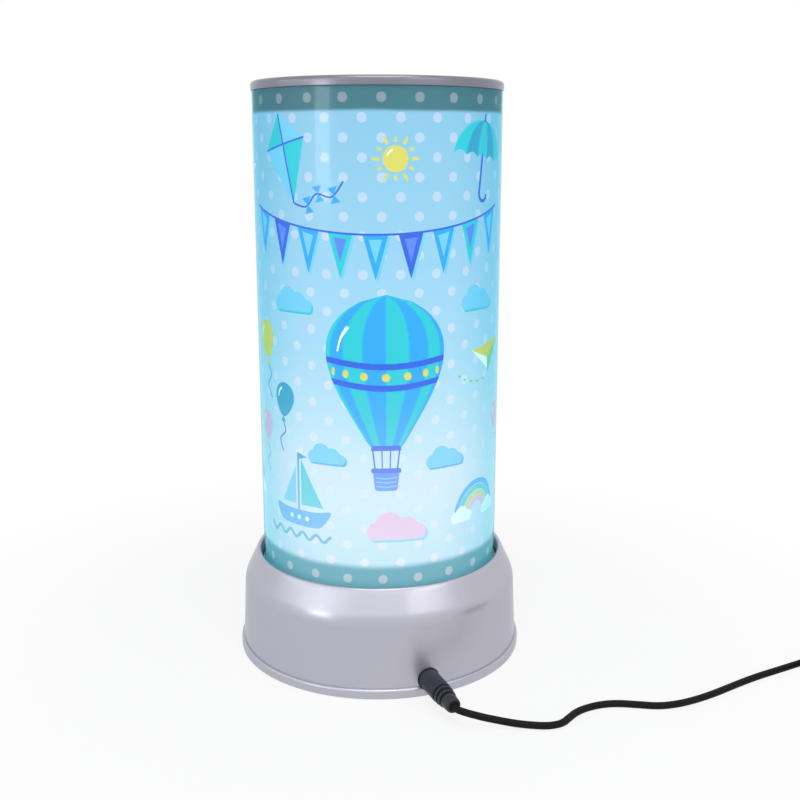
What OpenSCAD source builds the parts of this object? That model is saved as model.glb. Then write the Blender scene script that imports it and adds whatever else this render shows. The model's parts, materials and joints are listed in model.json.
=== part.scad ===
// Rotating motion lamp: a printed clear drum turns on a geared turntable over a fixed light.
// Origin at the centre of the underside, +Z up, the power lead's side of the base towards -Y.

/* [Drum] */
// Outer diameter of the clear tube
tube_d = 106.8; // [104:0.2:118]
// Wall of the clear tube
tube_t = 1.5; // [1:0.1:2.5]
// Length of the clear tube
tube_len = 208.3; // [170:0.1:230]
// Thickness of the printed film
film_t = 0.3; // [0.2:0.05:0.5]
// Room between the film and the tube
film_gap = 0.1; // [0.05:0.05:0.3]
// Wall of the white light diffuser
diffuser_t = 1; // [0.8:0.1:1.5]
// Wall of the turntable collar and of the cap's skirt
collar_t = 2; // [1.5:0.1:3]
// Height of the turntable collar above the turntable
collar_h = 13.4; // [10:0.1:20]
// Depth of the cap's skirt below the top of the tube
skirt_h = 9.5; // [6:0.5:14]
// Slip room between the collar or the skirt and the rings round and inside them
ring_fit = 0.15; // [0.1:0.05:0.3]

/* [Cap] */
// How far the cap's rim overhangs the tube
cap_lap = 0.4; // [0.2:0.1:1]
// Thickness of the cap's rim
cap_t = 3.8; // [3:0.1:6]
// Thickness of the cap's roof
cap_roof_t = 2.2; // [1.6:0.1:2.8]
// Rounding of the cap's top edge
cap_round = 1.6; // [0.5:0.1:2]
// Depth of the dish in the top of the cap
cap_dish = 0.6; // [0.2:0.1:1]
// Width of the raised border round that dish
cap_border = 7; // [4:1:12]

/* [Base] */
// Room round the tube in the opening of the base
well_room = 1.3; // [1:0.1:3]
// Depth of the well that the drum stands in
well_depth = 12.9; // [10:0.1:14]
// Wall of the well
well_t = 1.8; // [1.4:0.1:2.4]
// From the edge of the opening out to the top of the side
shoulder_w = 7.9; // [6:0.1:9]
// Radius of the rounding from the side into the shoulder
shoulder_round = 15.3; // [12:0.1:18]
// Slope of the shoulder above that rounding, in degrees from upright
shoulder_slope = 25.6; // [22:0.2:30]
// How much the side leans out from the shoulder to the foot
side_lean = 1.2; // [0.6:0.1:2]
// How far the foot lip stands out
lip_step = 1.2; // [1.1:0.1:3]
// Height of the top of the lip over the ground
lip_h = 4.4; // [3:0.1:5]
// Rounding of the lip's top edge
lip_round = 1.1; // [0.6:0.1:1.1]
// Rounding of the lip's lower edge
lip_foot_round = 0.4; // [0.2:0.1:0.6]
// Height of the lip's underside over the ground
lip_gap = 0.2; // [0.2:0.1:1]
// Wall of the base
wall = 2.2; // [1.8:0.1:2.4]
// Thickness of the deck under the turntable
deck_t = 2; // [1.8:0.1:3]
// Rounding of the edge of the opening
rim_round = 0.7; // [0.3:0.1:0.8]

/* [Bottom cover] */
// Height of the cover's underside over the ground
cover_lift = 1.2; // [1:0.1:1.6]
// Thickness of the bottom cover
cover_t = 2; // [1.6:0.1:3]
// Room round the cover
cover_room = 0.5; // [0.3:0.1:0.8]
// Radius of a rubber foot
foot_r = 6; // [4:0.5:7]
// Height of a rubber foot
foot_h = 1.8; // [1.7:0.1:2.2]
// Distance of the feet from the axis
foot_reach = 49; // [44:0.5:52]
// Height of the cups that the cover screws sit in
cup_h = 2; // [1.6:0.1:3]
// Thickness of a cup's floor, between the screw's head and its boss
cup_floor_t = 1.6; // [1.2:0.1:2]
// Radius of a cover screw's boss
boss_r = 3.2; // [2.8:0.1:3.6]
// Shank radius of a cover screw
cover_screw_r = 1.25; // [1:0.05:1.5]
// Length of a cover screw under its head
cover_screw_l = 10; // [8:1:14]

/* [Gears] */
// Module of the turntable's gear and its pinion
table_module = 1; // [0.9:0.1:1.1]
// Teeth on the turntable's gear
table_teeth = 60; // [56:1:64]
// Module of the two small stages
stage_module = 0.5; // [0.45:0.05:0.55]
// Teeth on the two wheels
wheel_teeth = 48; // [46:1:50]
// Teeth on every pinion
pinion_teeth = 12; // [12:1:14]
// Pressure angle of all teeth
pressure_angle = 20; // [18:1:22]
// How much thinner each tooth is than its space allows, per millimetre of module
tooth_lash = 0.22; // [0.2:0.02:0.3]
// Face width of the turntable's gear
table_face = 4; // [3:0.5:5]
// Face width of a wheel
wheel_face = 3; // [2:0.5:4]
// Radius of the gear pins' bearing ends
pin_r = 1; // [0.8:0.05:1.2]
// Radius of the output pin's thick foot
pin_foot_r = 1.6; // [1.5:0.1:1.8]
// Radial room of everything that turns on a pin or spindle
run_fit = 0.05; // [0.02:0.01:0.1]
// Radial room of pins and screws in the holes that hold them
hold_fit = 0.01; // [0.005:0.005:0.02]
// Direction of the output pin, seen from above
output_angle = 150; // [145:1:155]
// Direction from the output pin to the idler pin
idler_angle = 50; // [46:1:54]
// Direction from the idler pin to the motor
motor_angle = -10; // [-14:1:-6]

/* [Motor] */
// Radius of the motor
motor_r = 12.2; // [10:0.1:13]
// Height of the motor
motor_h = 12.4; // [10:0.1:15]
// Height of the motor's plastic end
motor_end_h = 2.4; // [1.5:0.1:3]
// Radius of the motor's shaft
shaft_r = 1; // [0.75:0.05:1.15]
// Height of the pilot ring round the motor's shaft
pilot_h = 1.2; // [0.8:0.1:1.4]
// Room under the motor
motor_room = 1.4; // [1:0.1:3]
// Thickness of the gear plate
plate_t = 1.5; // [1.5:0.1:2]
// Radius of the gear plate's corners
corner_r = 4.5; // [4:0.1:5]
// Half the width of the arms between those corners
arm_w = 3.6; // [3:0.1:4]

/* [Spindle and light] */
// Outer radius of the hollow spindle
post_r = 6; // [5.5:0.1:7]
// Radius of the wire way through the spindle
post_bore_r = 3; // [2.5:0.1:3.5]
// Radius of the spindle's foot flange
flange_r = 11; // [10.5:0.1:12]
// Thickness of the spindle's foot flange
flange_t = 2; // [1.6:0.1:2.4]
// Thickness of the thrust washer
washer_t = 0.6; // [0.4:0.1:1]
// Wall of the turntable's hub
hub_t = 3; // [2.5:0.1:4]
// Height of the turntable's hub above the turntable
hub_h = 2.8; // [2:0.1:4]
// Thickness of the hub's flange under the turntable
hub_flange_t = 1.5; // [1.2:0.1:2]
// How far that flange reaches under the turntable
hub_land = 1.7; // [1.2:0.1:3]
// Width of the rim that carries the gear teeth under the turntable
gear_rim_w = 3; // [2.4:0.1:4]
// Thickness of the turntable
table_t = 2; // [1.6:0.1:3]
// How far the turntable stands out beyond the tube
table_lap = 0.5; // [0.4:0.1:0.8]
// Height of the ribs on the turntable
rib_h = 2.4; // [1.5:0.1:3]
// Thickness of the ribs on the turntable
rib_t = 1.6; // [1:0.1:2.5]
// Number of ribs on the turntable
rib_count = 6; // [4:1:8]
// Radius of the light board
led_board_r = 17; // [16:0.5:20]
// Thickness of the light board
led_board_t = 1.6; // [1:0.1:2]
// Number of light chips
led_count = 6; // [4:1:7]
// Width of a light chip
led_w = 5; // [3.5:0.1:5.5]
// Height of a light chip
led_h = 1.6; // [1:0.1:2]
// Wall of the push-on ring that holds the light board
clip_w = 3; // [2:0.1:3.5]
// Thickness of that ring
clip_t = 0.8; // [0.5:0.1:1]

/* [Power socket and board] */
// Direction of the power socket, seen from above
jack_angle = -68; // [-80:1:-60]
// How far the socket's axis passes beside the middle of the board
jack_side = -2.2; // [-3:0.1:3]
// Height of the power socket's axis
jack_z = 7.2; // [7.1:0.1:7.6]
// How far the socket's housing reaches below that axis
jack_drop = 3.8; // [3.7:0.1:3.9]
// Width of the socket's housing
jack_w = 9; // [8.8:0.1:10]
// Depth of the socket's housing
jack_l = 13; // [12:0.5:14]
// Height of the socket's housing
jack_h = 9.4; // [9:0.1:9.6]
// Thickness of the driver board
board_t = 1.6; // [1:0.1:2]
// Length of the driver board, along the socket's axis
board_l = 33; // [31:0.5:35]
// Width of the driver board
board_w = 32; // [30:0.5:34]
// Radius of a standoff of the driver board
standoff_r = 2.6; // [2.2:0.1:3]
// Shank radius of the small screws
small_screw_r = 0.9; // [0.8:0.05:1]
// Head radius of the small screws
small_head_r = 1.9; // [1.6:0.1:2.1]
// Head height of the small screws
small_head_h = 1.3; // [1:0.1:1.5]
// How deep a small screw bites into its boss
screw_bite = 5; // [4:0.5:6]

/* [Switch] */
// Height of the rocker switch's middle
switch_z = 21; // [18:0.5:23]
// Length of the switch's body
switch_l = 14; // [13.6:0.1:15]
// Height of the switch's body
switch_h = 9; // [8.6:0.1:10]
// Depth of the switch's body behind its frame
switch_depth = 11; // [10:0.5:13]
// Overhang of the switch's frame
bezel_lap = 0.8; // [0.5:0.1:0.9]
// Thickness of the switch's frame
bezel_t = 1.2; // [1:0.1:1.3]
// Wall beside the rocker
switch_wall = 0.9; // [0.7:0.05:1]
// Length of a terminal behind the switch
terminal_l = 5; // [4:0.5:6]
// How far the rocker tilts each way
rocker_tilt = 10; // [7:1:12]
// Room round the rocker
rocker_room = 0.3; // [0.25:0.05:0.5]

/* [Power lead] */
// Diameter of the lead
lead_d = 3; // [2.5:0.1:3.4]
// Radius of the plug's grip
plug_r = 4.5; // [4:0.1:4.8]
// Length of the plug's grip and strain relief
plug_l = 28.3; // [26:0.1:34]
// Number of grooves round the strain relief
relief_grooves = 3; // [2:1:4]
// Distance between those grooves
groove_pitch = 2.65; // [2.2:0.05:3]
// Length of the plain block behind them
plug_block_l = 5.2; // [4:0.1:6.5]
// Radius of that block where it begins
plug_block_r = 3.5; // [3.3:0.1:3.9]
// Radius of the plug's metal sleeve
sleeve_r = 2.75; // [2.5:0.05:2.8]
// Length of the plug's metal sleeve
sleeve_l = 9.5; // [8:0.5:10.5]
// Layers of the coil
coil_layers = 4; // [2:2:4]
// Turns in all
coil_turns = 10.4167; // [8:0.0001:12]
// Radius of the coil's widest turn
coil_r = 21.5; // [20:0.5:24]
// Distance between neighbouring turns and layers
coil_pitch = 3.5; // [3.5:0.05:3.8]
// Width of the wall adapter
adapter_w = 30; // [26:1:34]
// Length of the wall adapter
adapter_l = 40; // [34:1:46]
// Rounding of the wall adapter's long edges
adapter_round = 4; // [2:0.5:6]
// Radius of an adapter pin
mains_pin_r = 2; // [1.8:0.1:2.4]
// Length of an adapter pin
mains_pin_l = 19; // [17:0.5:20]
// Distance between the adapter pins
mains_pin_gap = 19; // [18:0.5:20]

/* [Hidden] */
$fn = 96;

// A hair of overlap, so that cuts pass right through
nick = 0.01;
// Steps of a rounded outline, in degrees
arc_step = 5;

// Rings of the drum, from the outside in
tube_r = tube_d / 2;
film_r = tube_r - tube_t - film_gap;
collar_r = film_r - film_t - ring_fit;
diffuser_r = collar_r - collar_t - ring_fit;

// Rings of the base, from the inside out
well_r = tube_r + well_room;
shoulder_r = well_r + shoulder_w;
foot_side_r = shoulder_r + side_lean;
base_r = foot_side_r + lip_step;
inner_r = foot_side_r - wall;
cover_r = inner_r - cover_room;
table_r = tube_r + table_lap;

// Heights, from the ground up
cover_top = cover_lift + cover_t;
boss_end = cover_top + cup_h;
motor_bottom = cover_top + motor_room;
plate_bottom = motor_bottom + motor_h;
plate_top = plate_bottom + plate_t;
gear_step = 0.3;
idler_hub_h = 1.2;
idler_wheel_z = plate_top + gear_step + idler_hub_h;
output_wheel_z = idler_wheel_z + 2 * wheel_face;
deck_bottom = output_wheel_z + wheel_face + 2.5;
deck_top = deck_bottom + deck_t;
rim_z = deck_top + well_depth;
pinion_z = deck_top + 1;
ring_gear_z = deck_top + washer_t + 0.6;
table_bottom = pinion_z + table_face + 0.7;
table_top = table_bottom + table_t;
hub_top = table_top + hub_h;
led_z = hub_top + 3;
tube_top = table_top + tube_len;
cap_top = tube_top + cap_t;
roof_bottom = cap_top - cap_roof_t;
screw_seat = boss_end - cup_floor_t;

// The shoulder slopes from its rounding straight up to the rounded edge of the opening
slope_foot_r = shoulder_r - shoulder_round * (1 - cos(shoulder_slope));
slope_top_r = well_r + rim_round * (1 + cos(shoulder_slope));
slope_top_z = rim_z - rim_round * (1 - sin(shoulder_slope));
slope_foot_z = slope_top_z - (slope_foot_r - slope_top_r) / tan(shoulder_slope);
shoulder_z = slope_foot_z - shoulder_round * sin(shoulder_slope);
// Outer and inner radius of the leaning side at a height
function side_out(z) = foot_side_r - side_lean * (z - lip_h) / (shoulder_z - lip_h);
function side_in(z) = side_out(z) - wall;

// Gear sizes and places
function pitch_r(teeth, module_mm) = teeth * module_mm / 2;
function polar(r, a) = [r * cos(a), r * sin(a)];
stage_gap = pitch_r(wheel_teeth + pinion_teeth, stage_module);
output_at = polar(pitch_r(table_teeth + pinion_teeth, table_module), output_angle);
idler_at = output_at + polar(stage_gap, idler_angle);
motor_at = idler_at + polar(stage_gap, motor_angle);
wheel_tip_r = pitch_r(wheel_teeth, stage_module) + stage_module;
pinion_tip_r = pitch_r(pinion_teeth, table_module) + table_module;
ring_root_r = pitch_r(table_teeth, table_module) - 1.25 * table_module;
ring_bore_r = ring_root_r - gear_rim_w;
hub_flange_r = ring_bore_r - hold_fit;
table_hole_r = hub_flange_r - hub_land;
neck_r = pitch_r(pinion_teeth, table_module) - 2.4 * table_module;

// A tooth of gear B faces a gap of gear A when B is turned by this much
function mesh_turn(direction, turn_a, teeth_a, teeth_b) =
    direction + 180 - (turn_a - direction) * teeth_a / teeth_b - 180 / teeth_b;
output_turn = mesh_turn(output_angle, 0, table_teeth, pinion_teeth);
idler_turn = mesh_turn(idler_angle, output_turn, wheel_teeth, pinion_teeth);
motor_turn = mesh_turn(motor_angle, idler_turn, wheel_teeth, pinion_teeth);

// Places of fasteners
cover_screw_angles = [0, 120, 240];
foot_angles = [70, 190, 310];
cover_screw_reach = cover_r - boss_r - 2.9;
plate_screw_reach = wheel_tip_r + boss_r + 1.6;
plate_screw_spots = [
    motor_at + polar(plate_screw_reach, 36),
    output_at + polar(plate_screw_reach, 120),
    motor_at + polar(plate_screw_reach, 244)
];
post_screw_reach = (post_r + flange_r) / 2;
post_screw_angles = [30, 150, 270];
motor_screw_reach = 8;
pilot_r = 3;

// Driver board, along the socket's axis
board_z = jack_z - jack_drop + jack_h;
socket_face = sqrt(pow(side_in(board_z) - 0.1, 2) - pow(jack_w / 2 + abs(jack_side), 2));
board_out = socket_face - 3.2;
board_top = board_z + board_t;
board_in = board_out - board_l;
standoff_spots = [
    for (along = [board_in + 4, board_out - 8], across = [-1, 1] * (board_w / 2 - 3.5)) [along, across]
];
header_h = 5;
header_spots = [[board_in + 4, 0], [board_in + 11, -10], [board_in + 11, 10]];

// Switch
switch_face = sqrt(pow(side_out(switch_z + switch_h / 2 + bezel_lap), 2) - pow(switch_l / 2 + bezel_lap, 2));
rocker_y = switch_face - 0.8;
rocker_half = switch_l / 2 - switch_wall - rocker_room - 0.35;
rocker_high = switch_h - 2 * switch_wall - 2 * rocker_room;

// Lead: straight out of the plug, down to the ground and off to the right
lead_r = lead_d / 2;
coil_at = [216, -43];
coil_in_angle = 120;
coil_in_dir = [sin(coil_in_angle), -cos(coil_in_angle)];
coil_start = coil_at + polar(coil_r, coil_in_angle) - lead_d * coil_in_dir;
coil_out_angle = coil_in_angle - 360 * coil_turns;
coil_out_dir = [sin(coil_out_angle), -cos(coil_out_angle)];
coil_top_z = lead_r + (coil_layers - 1) * coil_pitch;
coil_tail = 20;
coil_end = coil_at + polar(coil_r, coil_out_angle) + coil_tail * coil_out_dir;
relief_l = 8;
plug_end = socket_face + plug_l;
lead_out = [
    plug_end * cos(jack_angle) - jack_side * sin(jack_angle),
    plug_end * sin(jack_angle) + jack_side * cos(jack_angle),
    jack_z
];
lead_route = [
    lead_out, [31.9, -84.6, 7.05], [33.1, -85.6, 6.8], [34.9, -86.3, 6.45], [37.2, -86.9, 6],
    [39.7, -87.3, 5.5], [43, -87.7, 4.8], [47.5, -87.9, 3.9], [52, -88, 3], [57.5, -88.1, 2.1],
    [63, -88.2, 1.6], [66.8, -88.4, 1.5],
    [70.6, -88, 1.5], [74.6, -86.2, 1.5], [78.2, -82, 1.5], [82, -77.5, 1.5], [88.2, -73.4, 1.5],
    [94.4, -71.2, 1.5], [100.3, -70.6, 1.5], [107.5, -71.4, 1.5], [116.5, -72.4, 1.5], [124, -71, 1.5],
    [130, -68.7, 1.5], [136.5, -65.4, 1.5], [143.6, -61.1, 1.5], [150.6, -56.4, 1.5], [157.5, -51.8, 1.5],
    [165, -47.1, 1.5], [173, -42.6, 1.5], [181, -38.2, 1.5], [188.4, -34.1, 1.5], [195.7, -29.9, 1.5],
    [coil_start[0], coil_start[1], 1.5]
];

// ---- Shared shapes ----

function arc(centre, r, from, to) = [
    for (k = [0 : ceil(abs(to - from) / arc_step)])
        centre + polar(r, from + (to - from) * k / ceil(abs(to - from) / arc_step))
];

// Involute tooth flanks: half the tooth's angle at any radius
function inv_deg(a) = tan(a) * 180 / PI - a;
function tooth_half(r, teeth, module_mm) =
    let (rp = pitch_r(teeth, module_mm), rb = rp * cos(pressure_angle))
    90 / teeth - tooth_lash * module_mm / (2 * rp) * 180 / PI
    + inv_deg(pressure_angle) - inv_deg(acos(min(1, rb / r)));

function gear_points(teeth, module_mm) =
    let (
        rp = pitch_r(teeth, module_mm),
        root = rp - 1.25 * module_mm,
        foot = max(rp * cos(pressure_angle), root),
        tip = rp + module_mm,
        middle = (foot + tip) / 2,
        flank = [for (r = [foot, middle, tip]) [r, tooth_half(r, teeth, module_mm)]]
    )
    [for (i = [0 : teeth - 1]) let (a = 360 * i / teeth) each [
        polar(root, a - flank[0][1]),
        for (p = flank) polar(p[0], a - p[1]),
        for (k = [2, 1, 0]) polar(flank[k][0], a + flank[k][1]),
        polar(root, a + flank[0][1])
    ]];

module spur(teeth, module_mm, face, turn) {
    rotate(turn)
        linear_extrude(face)
            polygon(gear_points(teeth, module_mm));
}

module at(spot, z = 0) {
    translate([spot[0], spot[1], z])
        children();
}

module ring(outer, inner, z, h) {
    translate([0, 0, z])
        difference() {
            cylinder(r = outer, h = h);
            translate([0, 0, -nick])
                cylinder(r = inner, h = h + 2 * nick);
        }
}

// A cross-head screw with its head's underside at z = 0 and its shank upwards
module screw(shank_r, shank_l, head_r, head_h) {
    difference() {
        union() {
            translate([0, 0, -head_h])
                cylinder(r = head_r, h = head_h);
            cylinder(r = shank_r, h = shank_l);
        }
        for (turn = [0, 90])
            rotate(turn)
                translate([-head_r * 0.6, -head_r * 0.13, -head_h - nick])
                    cube([head_r * 1.2, head_r * 0.26, head_h * 0.55]);
    }
}

module small_screw(shank_l) {
    screw(small_screw_r, shank_l, small_head_r, small_head_h);
}

// Turns X to point the way that the power socket does
module along_socket(z = 0) {
    translate([0, 0, z])
        rotate(jack_angle)
            children();
}

// A turned shape on the power socket's axis, its Z outwards from a place along it
module on_socket(along) {
    along_socket(jack_z)
        translate([along, jack_side, 0])
            rotate([0, 90, 0])
                children();
}

// The way through the wall and past the cover for the plug's grip
module plug_way() {
    on_socket(socket_face - 0.2)
        cylinder(r = plug_r + 0.4, h = base_r);
}

// A tube through the points of a path, as one solid
function unit(v) = v / norm(v);
function heading(path, i) = unit(path[min(i + 1, len(path) - 1)] - path[max(i - 1, 0)]);
module swept_tube(path, r, sides, beside = [0, 0, 1]) {
    points = [for (i = [0 : len(path) - 1])
        let (t = heading(path, i), u = unit(cross(t, beside)), v = cross(t, u))
        for (k = [0 : sides - 1]) path[i] + r * (cos(360 * k / sides) * u + sin(360 * k / sides) * v)];
    last = (len(path) - 1) * sides;
    faces = concat(
        [for (i = [0 : len(path) - 2], k = [0 : sides - 1])
            let (a = i * sides + k, b = i * sides + (k + 1) % sides) each [
                [a, b, a + sides],
                [b, b + sides, a + sides]
            ]],
        [for (k = [1 : sides - 2]) [0, k + 1, k]],
        [for (k = [1 : sides - 2]) [last, last + k, last + k + 1]]
    );
    polyhedron(points, faces);
}

// ---- Base ----

module shell_outline() {
    polygon(concat(
        [[0, lip_gap]],
        arc([base_r - lip_foot_round, lip_gap + lip_foot_round], lip_foot_round, -90, 0),
        arc([base_r - lip_round, lip_h - lip_round], lip_round, 0, 90),
        [[foot_side_r, lip_h]],
        arc([shoulder_r - shoulder_round, shoulder_z], shoulder_round, 0, shoulder_slope),
        arc([well_r + rim_round, rim_z - rim_round], rim_round, shoulder_slope, 180),
        [[0, rim_z - rim_round]]
    ));
}

module cavity_outline() {
    in_r = slope_foot_r - wall * cos(shoulder_slope);
    in_z = slope_foot_z - wall * sin(shoulder_slope);
    in_top = in_z + (in_r - well_r) / tan(shoulder_slope);
    difference() {
        polygon(concat(
            [[0, lip_gap - 1], [inner_r, lip_gap - 1], [inner_r, lip_h]],
            arc([shoulder_r - shoulder_round, shoulder_z], shoulder_round - wall, 0, shoulder_slope),
            [[well_r, in_top], [0, in_top]]
        ));
        translate([-1, deck_bottom])
            square([well_r + well_t + 1, rim_z]);
    }
}

module base_shell() {
    color([0.72, 0.73, 0.77])
        difference() {
            union() {
                rotate_extrude()
                    difference() {
                        shell_outline();
                        cavity_outline();
                        translate([-1, deck_top])
                            square([well_r + 1, rim_z]);
                    }
                for (a = cover_screw_angles)
                    at(polar(cover_screw_reach, a), boss_end)
                        cylinder(r = boss_r, h = deck_bottom + nick - boss_end);
                for (spot = plate_screw_spots)
                    at(spot, plate_top)
                        cylinder(r = boss_r, h = deck_bottom + nick - plate_top);
                at(idler_at, deck_bottom - 1.9)
                    cylinder(r = pin_r + 1.6, h = 1.9 + nick);
            }
            translate([0, 0, deck_bottom - nick])
                cylinder(r = post_r + 0.2, h = deck_t + 2 * nick);
            at(output_at, deck_bottom - nick)
                cylinder(r = pinion_tip_r + 0.4, h = deck_t + 2 * nick);
            at(idler_at, deck_bottom - 1.9 - nick)
                cylinder(r = pin_r + hold_fit, h = 1.9 + nick);
            for (a = cover_screw_angles)
                at(polar(cover_screw_reach, a), boss_end - nick)
                    cylinder(r = cover_screw_r + hold_fit, h = cover_screw_l);
            for (spot = plate_screw_spots)
                at(spot, plate_top - nick)
                    cylinder(r = small_screw_r + hold_fit, h = screw_bite + 2);
            for (a = post_screw_angles)
                at(polar(post_screw_reach, a), deck_bottom - nick)
                    cylinder(r = small_screw_r + hold_fit, h = deck_t - 0.2);
            plug_way();
            translate([-switch_l / 2 - 0.1, inner_r - 4, switch_z - switch_h / 2 - 0.1])
                cube([switch_l + 0.2, base_r, switch_h + 0.2]);
            translate([
                -switch_l / 2 - bezel_lap - 0.2,
                switch_face,
                switch_z - switch_h / 2 - bezel_lap - 0.2
            ])
                cube([switch_l + 2 * bezel_lap + 0.4, base_r, switch_h + 2 * bezel_lap + 0.4]);
        }
}

module bottom_cover() {
    color([0.42, 0.43, 0.46])
        difference() {
            union() {
                translate([0, 0, cover_lift])
                    cylinder(r = cover_r, h = cover_t);
                for (a = cover_screw_angles)
                    at(polar(cover_screw_reach, a), cover_top - nick)
                        cylinder(r = boss_r + 0.8, h = cup_h + nick);
                along_socket(cover_top - nick)
                    for (spot = standoff_spots)
                        at(spot)
                            cylinder(r = standoff_r, h = board_z - cover_top + nick);
            }
            for (a = cover_screw_angles)
                at(polar(cover_screw_reach, a)) {
                    translate([0, 0, cover_lift - nick])
                        cylinder(r = boss_r, h = screw_seat - cover_lift + nick);
                    cylinder(r = cover_screw_r + 0.4, h = boss_end + 1);
                }
            for (a = foot_angles)
                at(polar(foot_reach, a), 0)
                    cylinder(r = foot_r, h = foot_h);
            along_socket(cover_top)
                for (spot = standoff_spots)
                    at(spot)
                        cylinder(r = small_screw_r + hold_fit, h = board_z);
            plug_way();
        }
}

module rubber_feet() {
    color([0.1, 0.1, 0.11])
        for (a = foot_angles)
            at(polar(foot_reach, a))
                cylinder(r = foot_r, h = foot_h);
}

module cover_screws() {
    color([0.75, 0.75, 0.78])
        for (a = cover_screw_angles)
            at(polar(cover_screw_reach, a), screw_seat)
                screw(cover_screw_r, cover_screw_l, cover_screw_r * 2.1, 1.7);
}

module gear_plate() {
    screws = plate_screw_spots;
    corners = [motor_at, screws[0], idler_at, screws[1], output_at, screws[2]];
    arms = [[0, 1], [0, 2], [2, 3], [2, 4], [3, 4], [4, 5], [5, 0]];
    color([0.8, 0.8, 0.82])
        difference() {
            union() {
                at(motor_at, plate_bottom)
                    cylinder(r = motor_r, h = plate_t);
                for (spot = corners)
                    at(spot, plate_bottom)
                        cylinder(r = corner_r, h = plate_t);
                for (arm = arms)
                    let (from = corners[arm[0]], run = corners[arm[1]] - from)
                        at(from, plate_bottom)
                            rotate(atan2(run[1], run[0]))
                                translate([0, -arm_w, 0])
                                    cube([norm(run), 2 * arm_w, plate_t]);
            }
            at(motor_at)
                cylinder(r = pilot_r + 0.1, h = deck_top);
            at(idler_at)
                cylinder(r = pin_r + hold_fit, h = deck_top);
            at(output_at)
                cylinder(r = pin_foot_r + hold_fit, h = deck_top);
            for (spot = plate_screw_spots)
                at(spot)
                    cylinder(r = small_screw_r + 0.2, h = deck_top);
            for (side = [-1, 1])
                at(motor_at + side * polar(motor_screw_reach, 90))
                    cylinder(r = small_screw_r + 0.2, h = deck_top);
        }
}

module plate_screws() {
    color([0.75, 0.75, 0.78])
        for (spot = plate_screw_spots)
            at(spot, plate_bottom)
                small_screw(plate_t + screw_bite);
}

module idler_pin() {
    color([0.85, 0.85, 0.87])
        at(idler_at, plate_bottom)
            cylinder(r = pin_r, h = deck_bottom - plate_bottom);
}

module output_pin() {
    color([0.85, 0.85, 0.87])
        at(output_at, plate_bottom) {
            cylinder(r = pin_foot_r, h = output_wheel_z - 1 - plate_bottom);
            cylinder(r = pin_r, h = table_bottom - 0.5 - plate_bottom);
        }
}

module motor_can() {
    color([0.78, 0.78, 0.8])
        at(motor_at)
            difference() {
                union() {
                    translate([0, 0, motor_bottom + motor_end_h])
                        cylinder(r = motor_r, h = motor_h - motor_end_h);
                    translate([0, 0, plate_bottom - nick])
                        cylinder(r = pilot_r, h = pilot_h + nick);
                }
                cylinder(r = shaft_r + run_fit, h = deck_top);
                for (side = [-1, 1])
                    at(side * polar(motor_screw_reach, 90), plate_bottom - 2.5)
                        cylinder(r = small_screw_r + hold_fit, h = 3);
            }
}

module motor_end() {
    color([0.2, 0.2, 0.22])
        at(motor_at)
            difference() {
                translate([0, 0, motor_bottom])
                    cylinder(r = motor_r - 0.6, h = motor_end_h);
                translate([0, 0, motor_bottom + 1])
                    cylinder(r = shaft_r + run_fit, h = motor_h);
            }
}

module motor_screws() {
    color([0.75, 0.75, 0.78])
        for (side = [-1, 1])
            at(motor_at + side * polar(motor_screw_reach, 90), plate_top)
                mirror([0, 0, 1])
                    small_screw(plate_t + 2.2);
}

module spindle_post() {
    color([0.9, 0.9, 0.9])
        difference() {
            union() {
                translate([0, 0, deck_bottom - flange_t])
                    cylinder(r = flange_r, h = flange_t);
                translate([0, 0, deck_bottom - nick])
                    cylinder(r = post_r, h = led_z - deck_bottom + nick);
                translate([0, 0, led_z - nick])
                    cylinder(r = post_r - 1.5, h = led_board_t + clip_t + 1.4 + nick);
            }
            cylinder(r = post_bore_r, h = cap_top);
            for (a = post_screw_angles)
                at(polar(post_screw_reach, a))
                    cylinder(r = small_screw_r + 0.15, h = deck_top);
        }
}

module post_screws() {
    color([0.75, 0.75, 0.78])
        for (a = post_screw_angles)
            at(polar(post_screw_reach, a), deck_bottom - flange_t)
                small_screw(flange_t + deck_t - 0.6);
}

module thrust_washer() {
    color([0.95, 0.95, 0.92])
        ring(post_r + hub_t, post_r + 0.25, deck_top, washer_t);
}

// ---- Electronics ----

module driver_board() {
    color([0.12, 0.4, 0.22])
        along_socket()
            difference() {
                translate([board_in, -board_w / 2, board_z])
                    cube([board_l, board_w, board_t]);
                for (spot = standoff_spots)
                    at(spot)
                        cylinder(r = small_screw_r + 0.2, h = deck_top);
            }
}

module board_screws() {
    color([0.75, 0.75, 0.78])
        along_socket()
            for (spot = standoff_spots)
                at(spot, board_top)
                    mirror([0, 0, 1])
                        small_screw(board_t + screw_bite);
}

module capacitors() {
    color([0.15, 0.17, 0.3])
        along_socket(board_top)
            for (across = [-6, 3])
                at([board_out - 9, across])
                    cylinder(r = 3.1, h = 9);
}

module driver_chip() {
    color([0.13, 0.13, 0.14])
        along_socket(board_top)
            translate([board_out - 19, -3, 0])
                cube([5, 6, 1.6]);
}

module wire_headers() {
    color([0.92, 0.9, 0.84])
        along_socket(board_top)
            for (spot = header_spots)
                at(spot)
                    translate([-2.5, -3.5, 0])
                        cube([5, 7, header_h]);
}

module power_socket() {
    color([0.11, 0.11, 0.12])
        difference() {
            along_socket(jack_z - jack_drop)
                translate([socket_face - jack_l, jack_side - jack_w / 2, 0])
                    cube([jack_l, jack_w, jack_h]);
            on_socket(socket_face - jack_l + 2)
                cylinder(r = sleeve_r + 0.1, h = jack_l);
            on_socket(socket_face - jack_l + 1)
                cylinder(r = 1 + hold_fit, h = jack_l);
        }
}

module socket_pin() {
    color([0.85, 0.83, 0.75])
        on_socket(socket_face - jack_l + 1)
            cylinder(r = 1, h = jack_l - 2.5);
}

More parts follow.
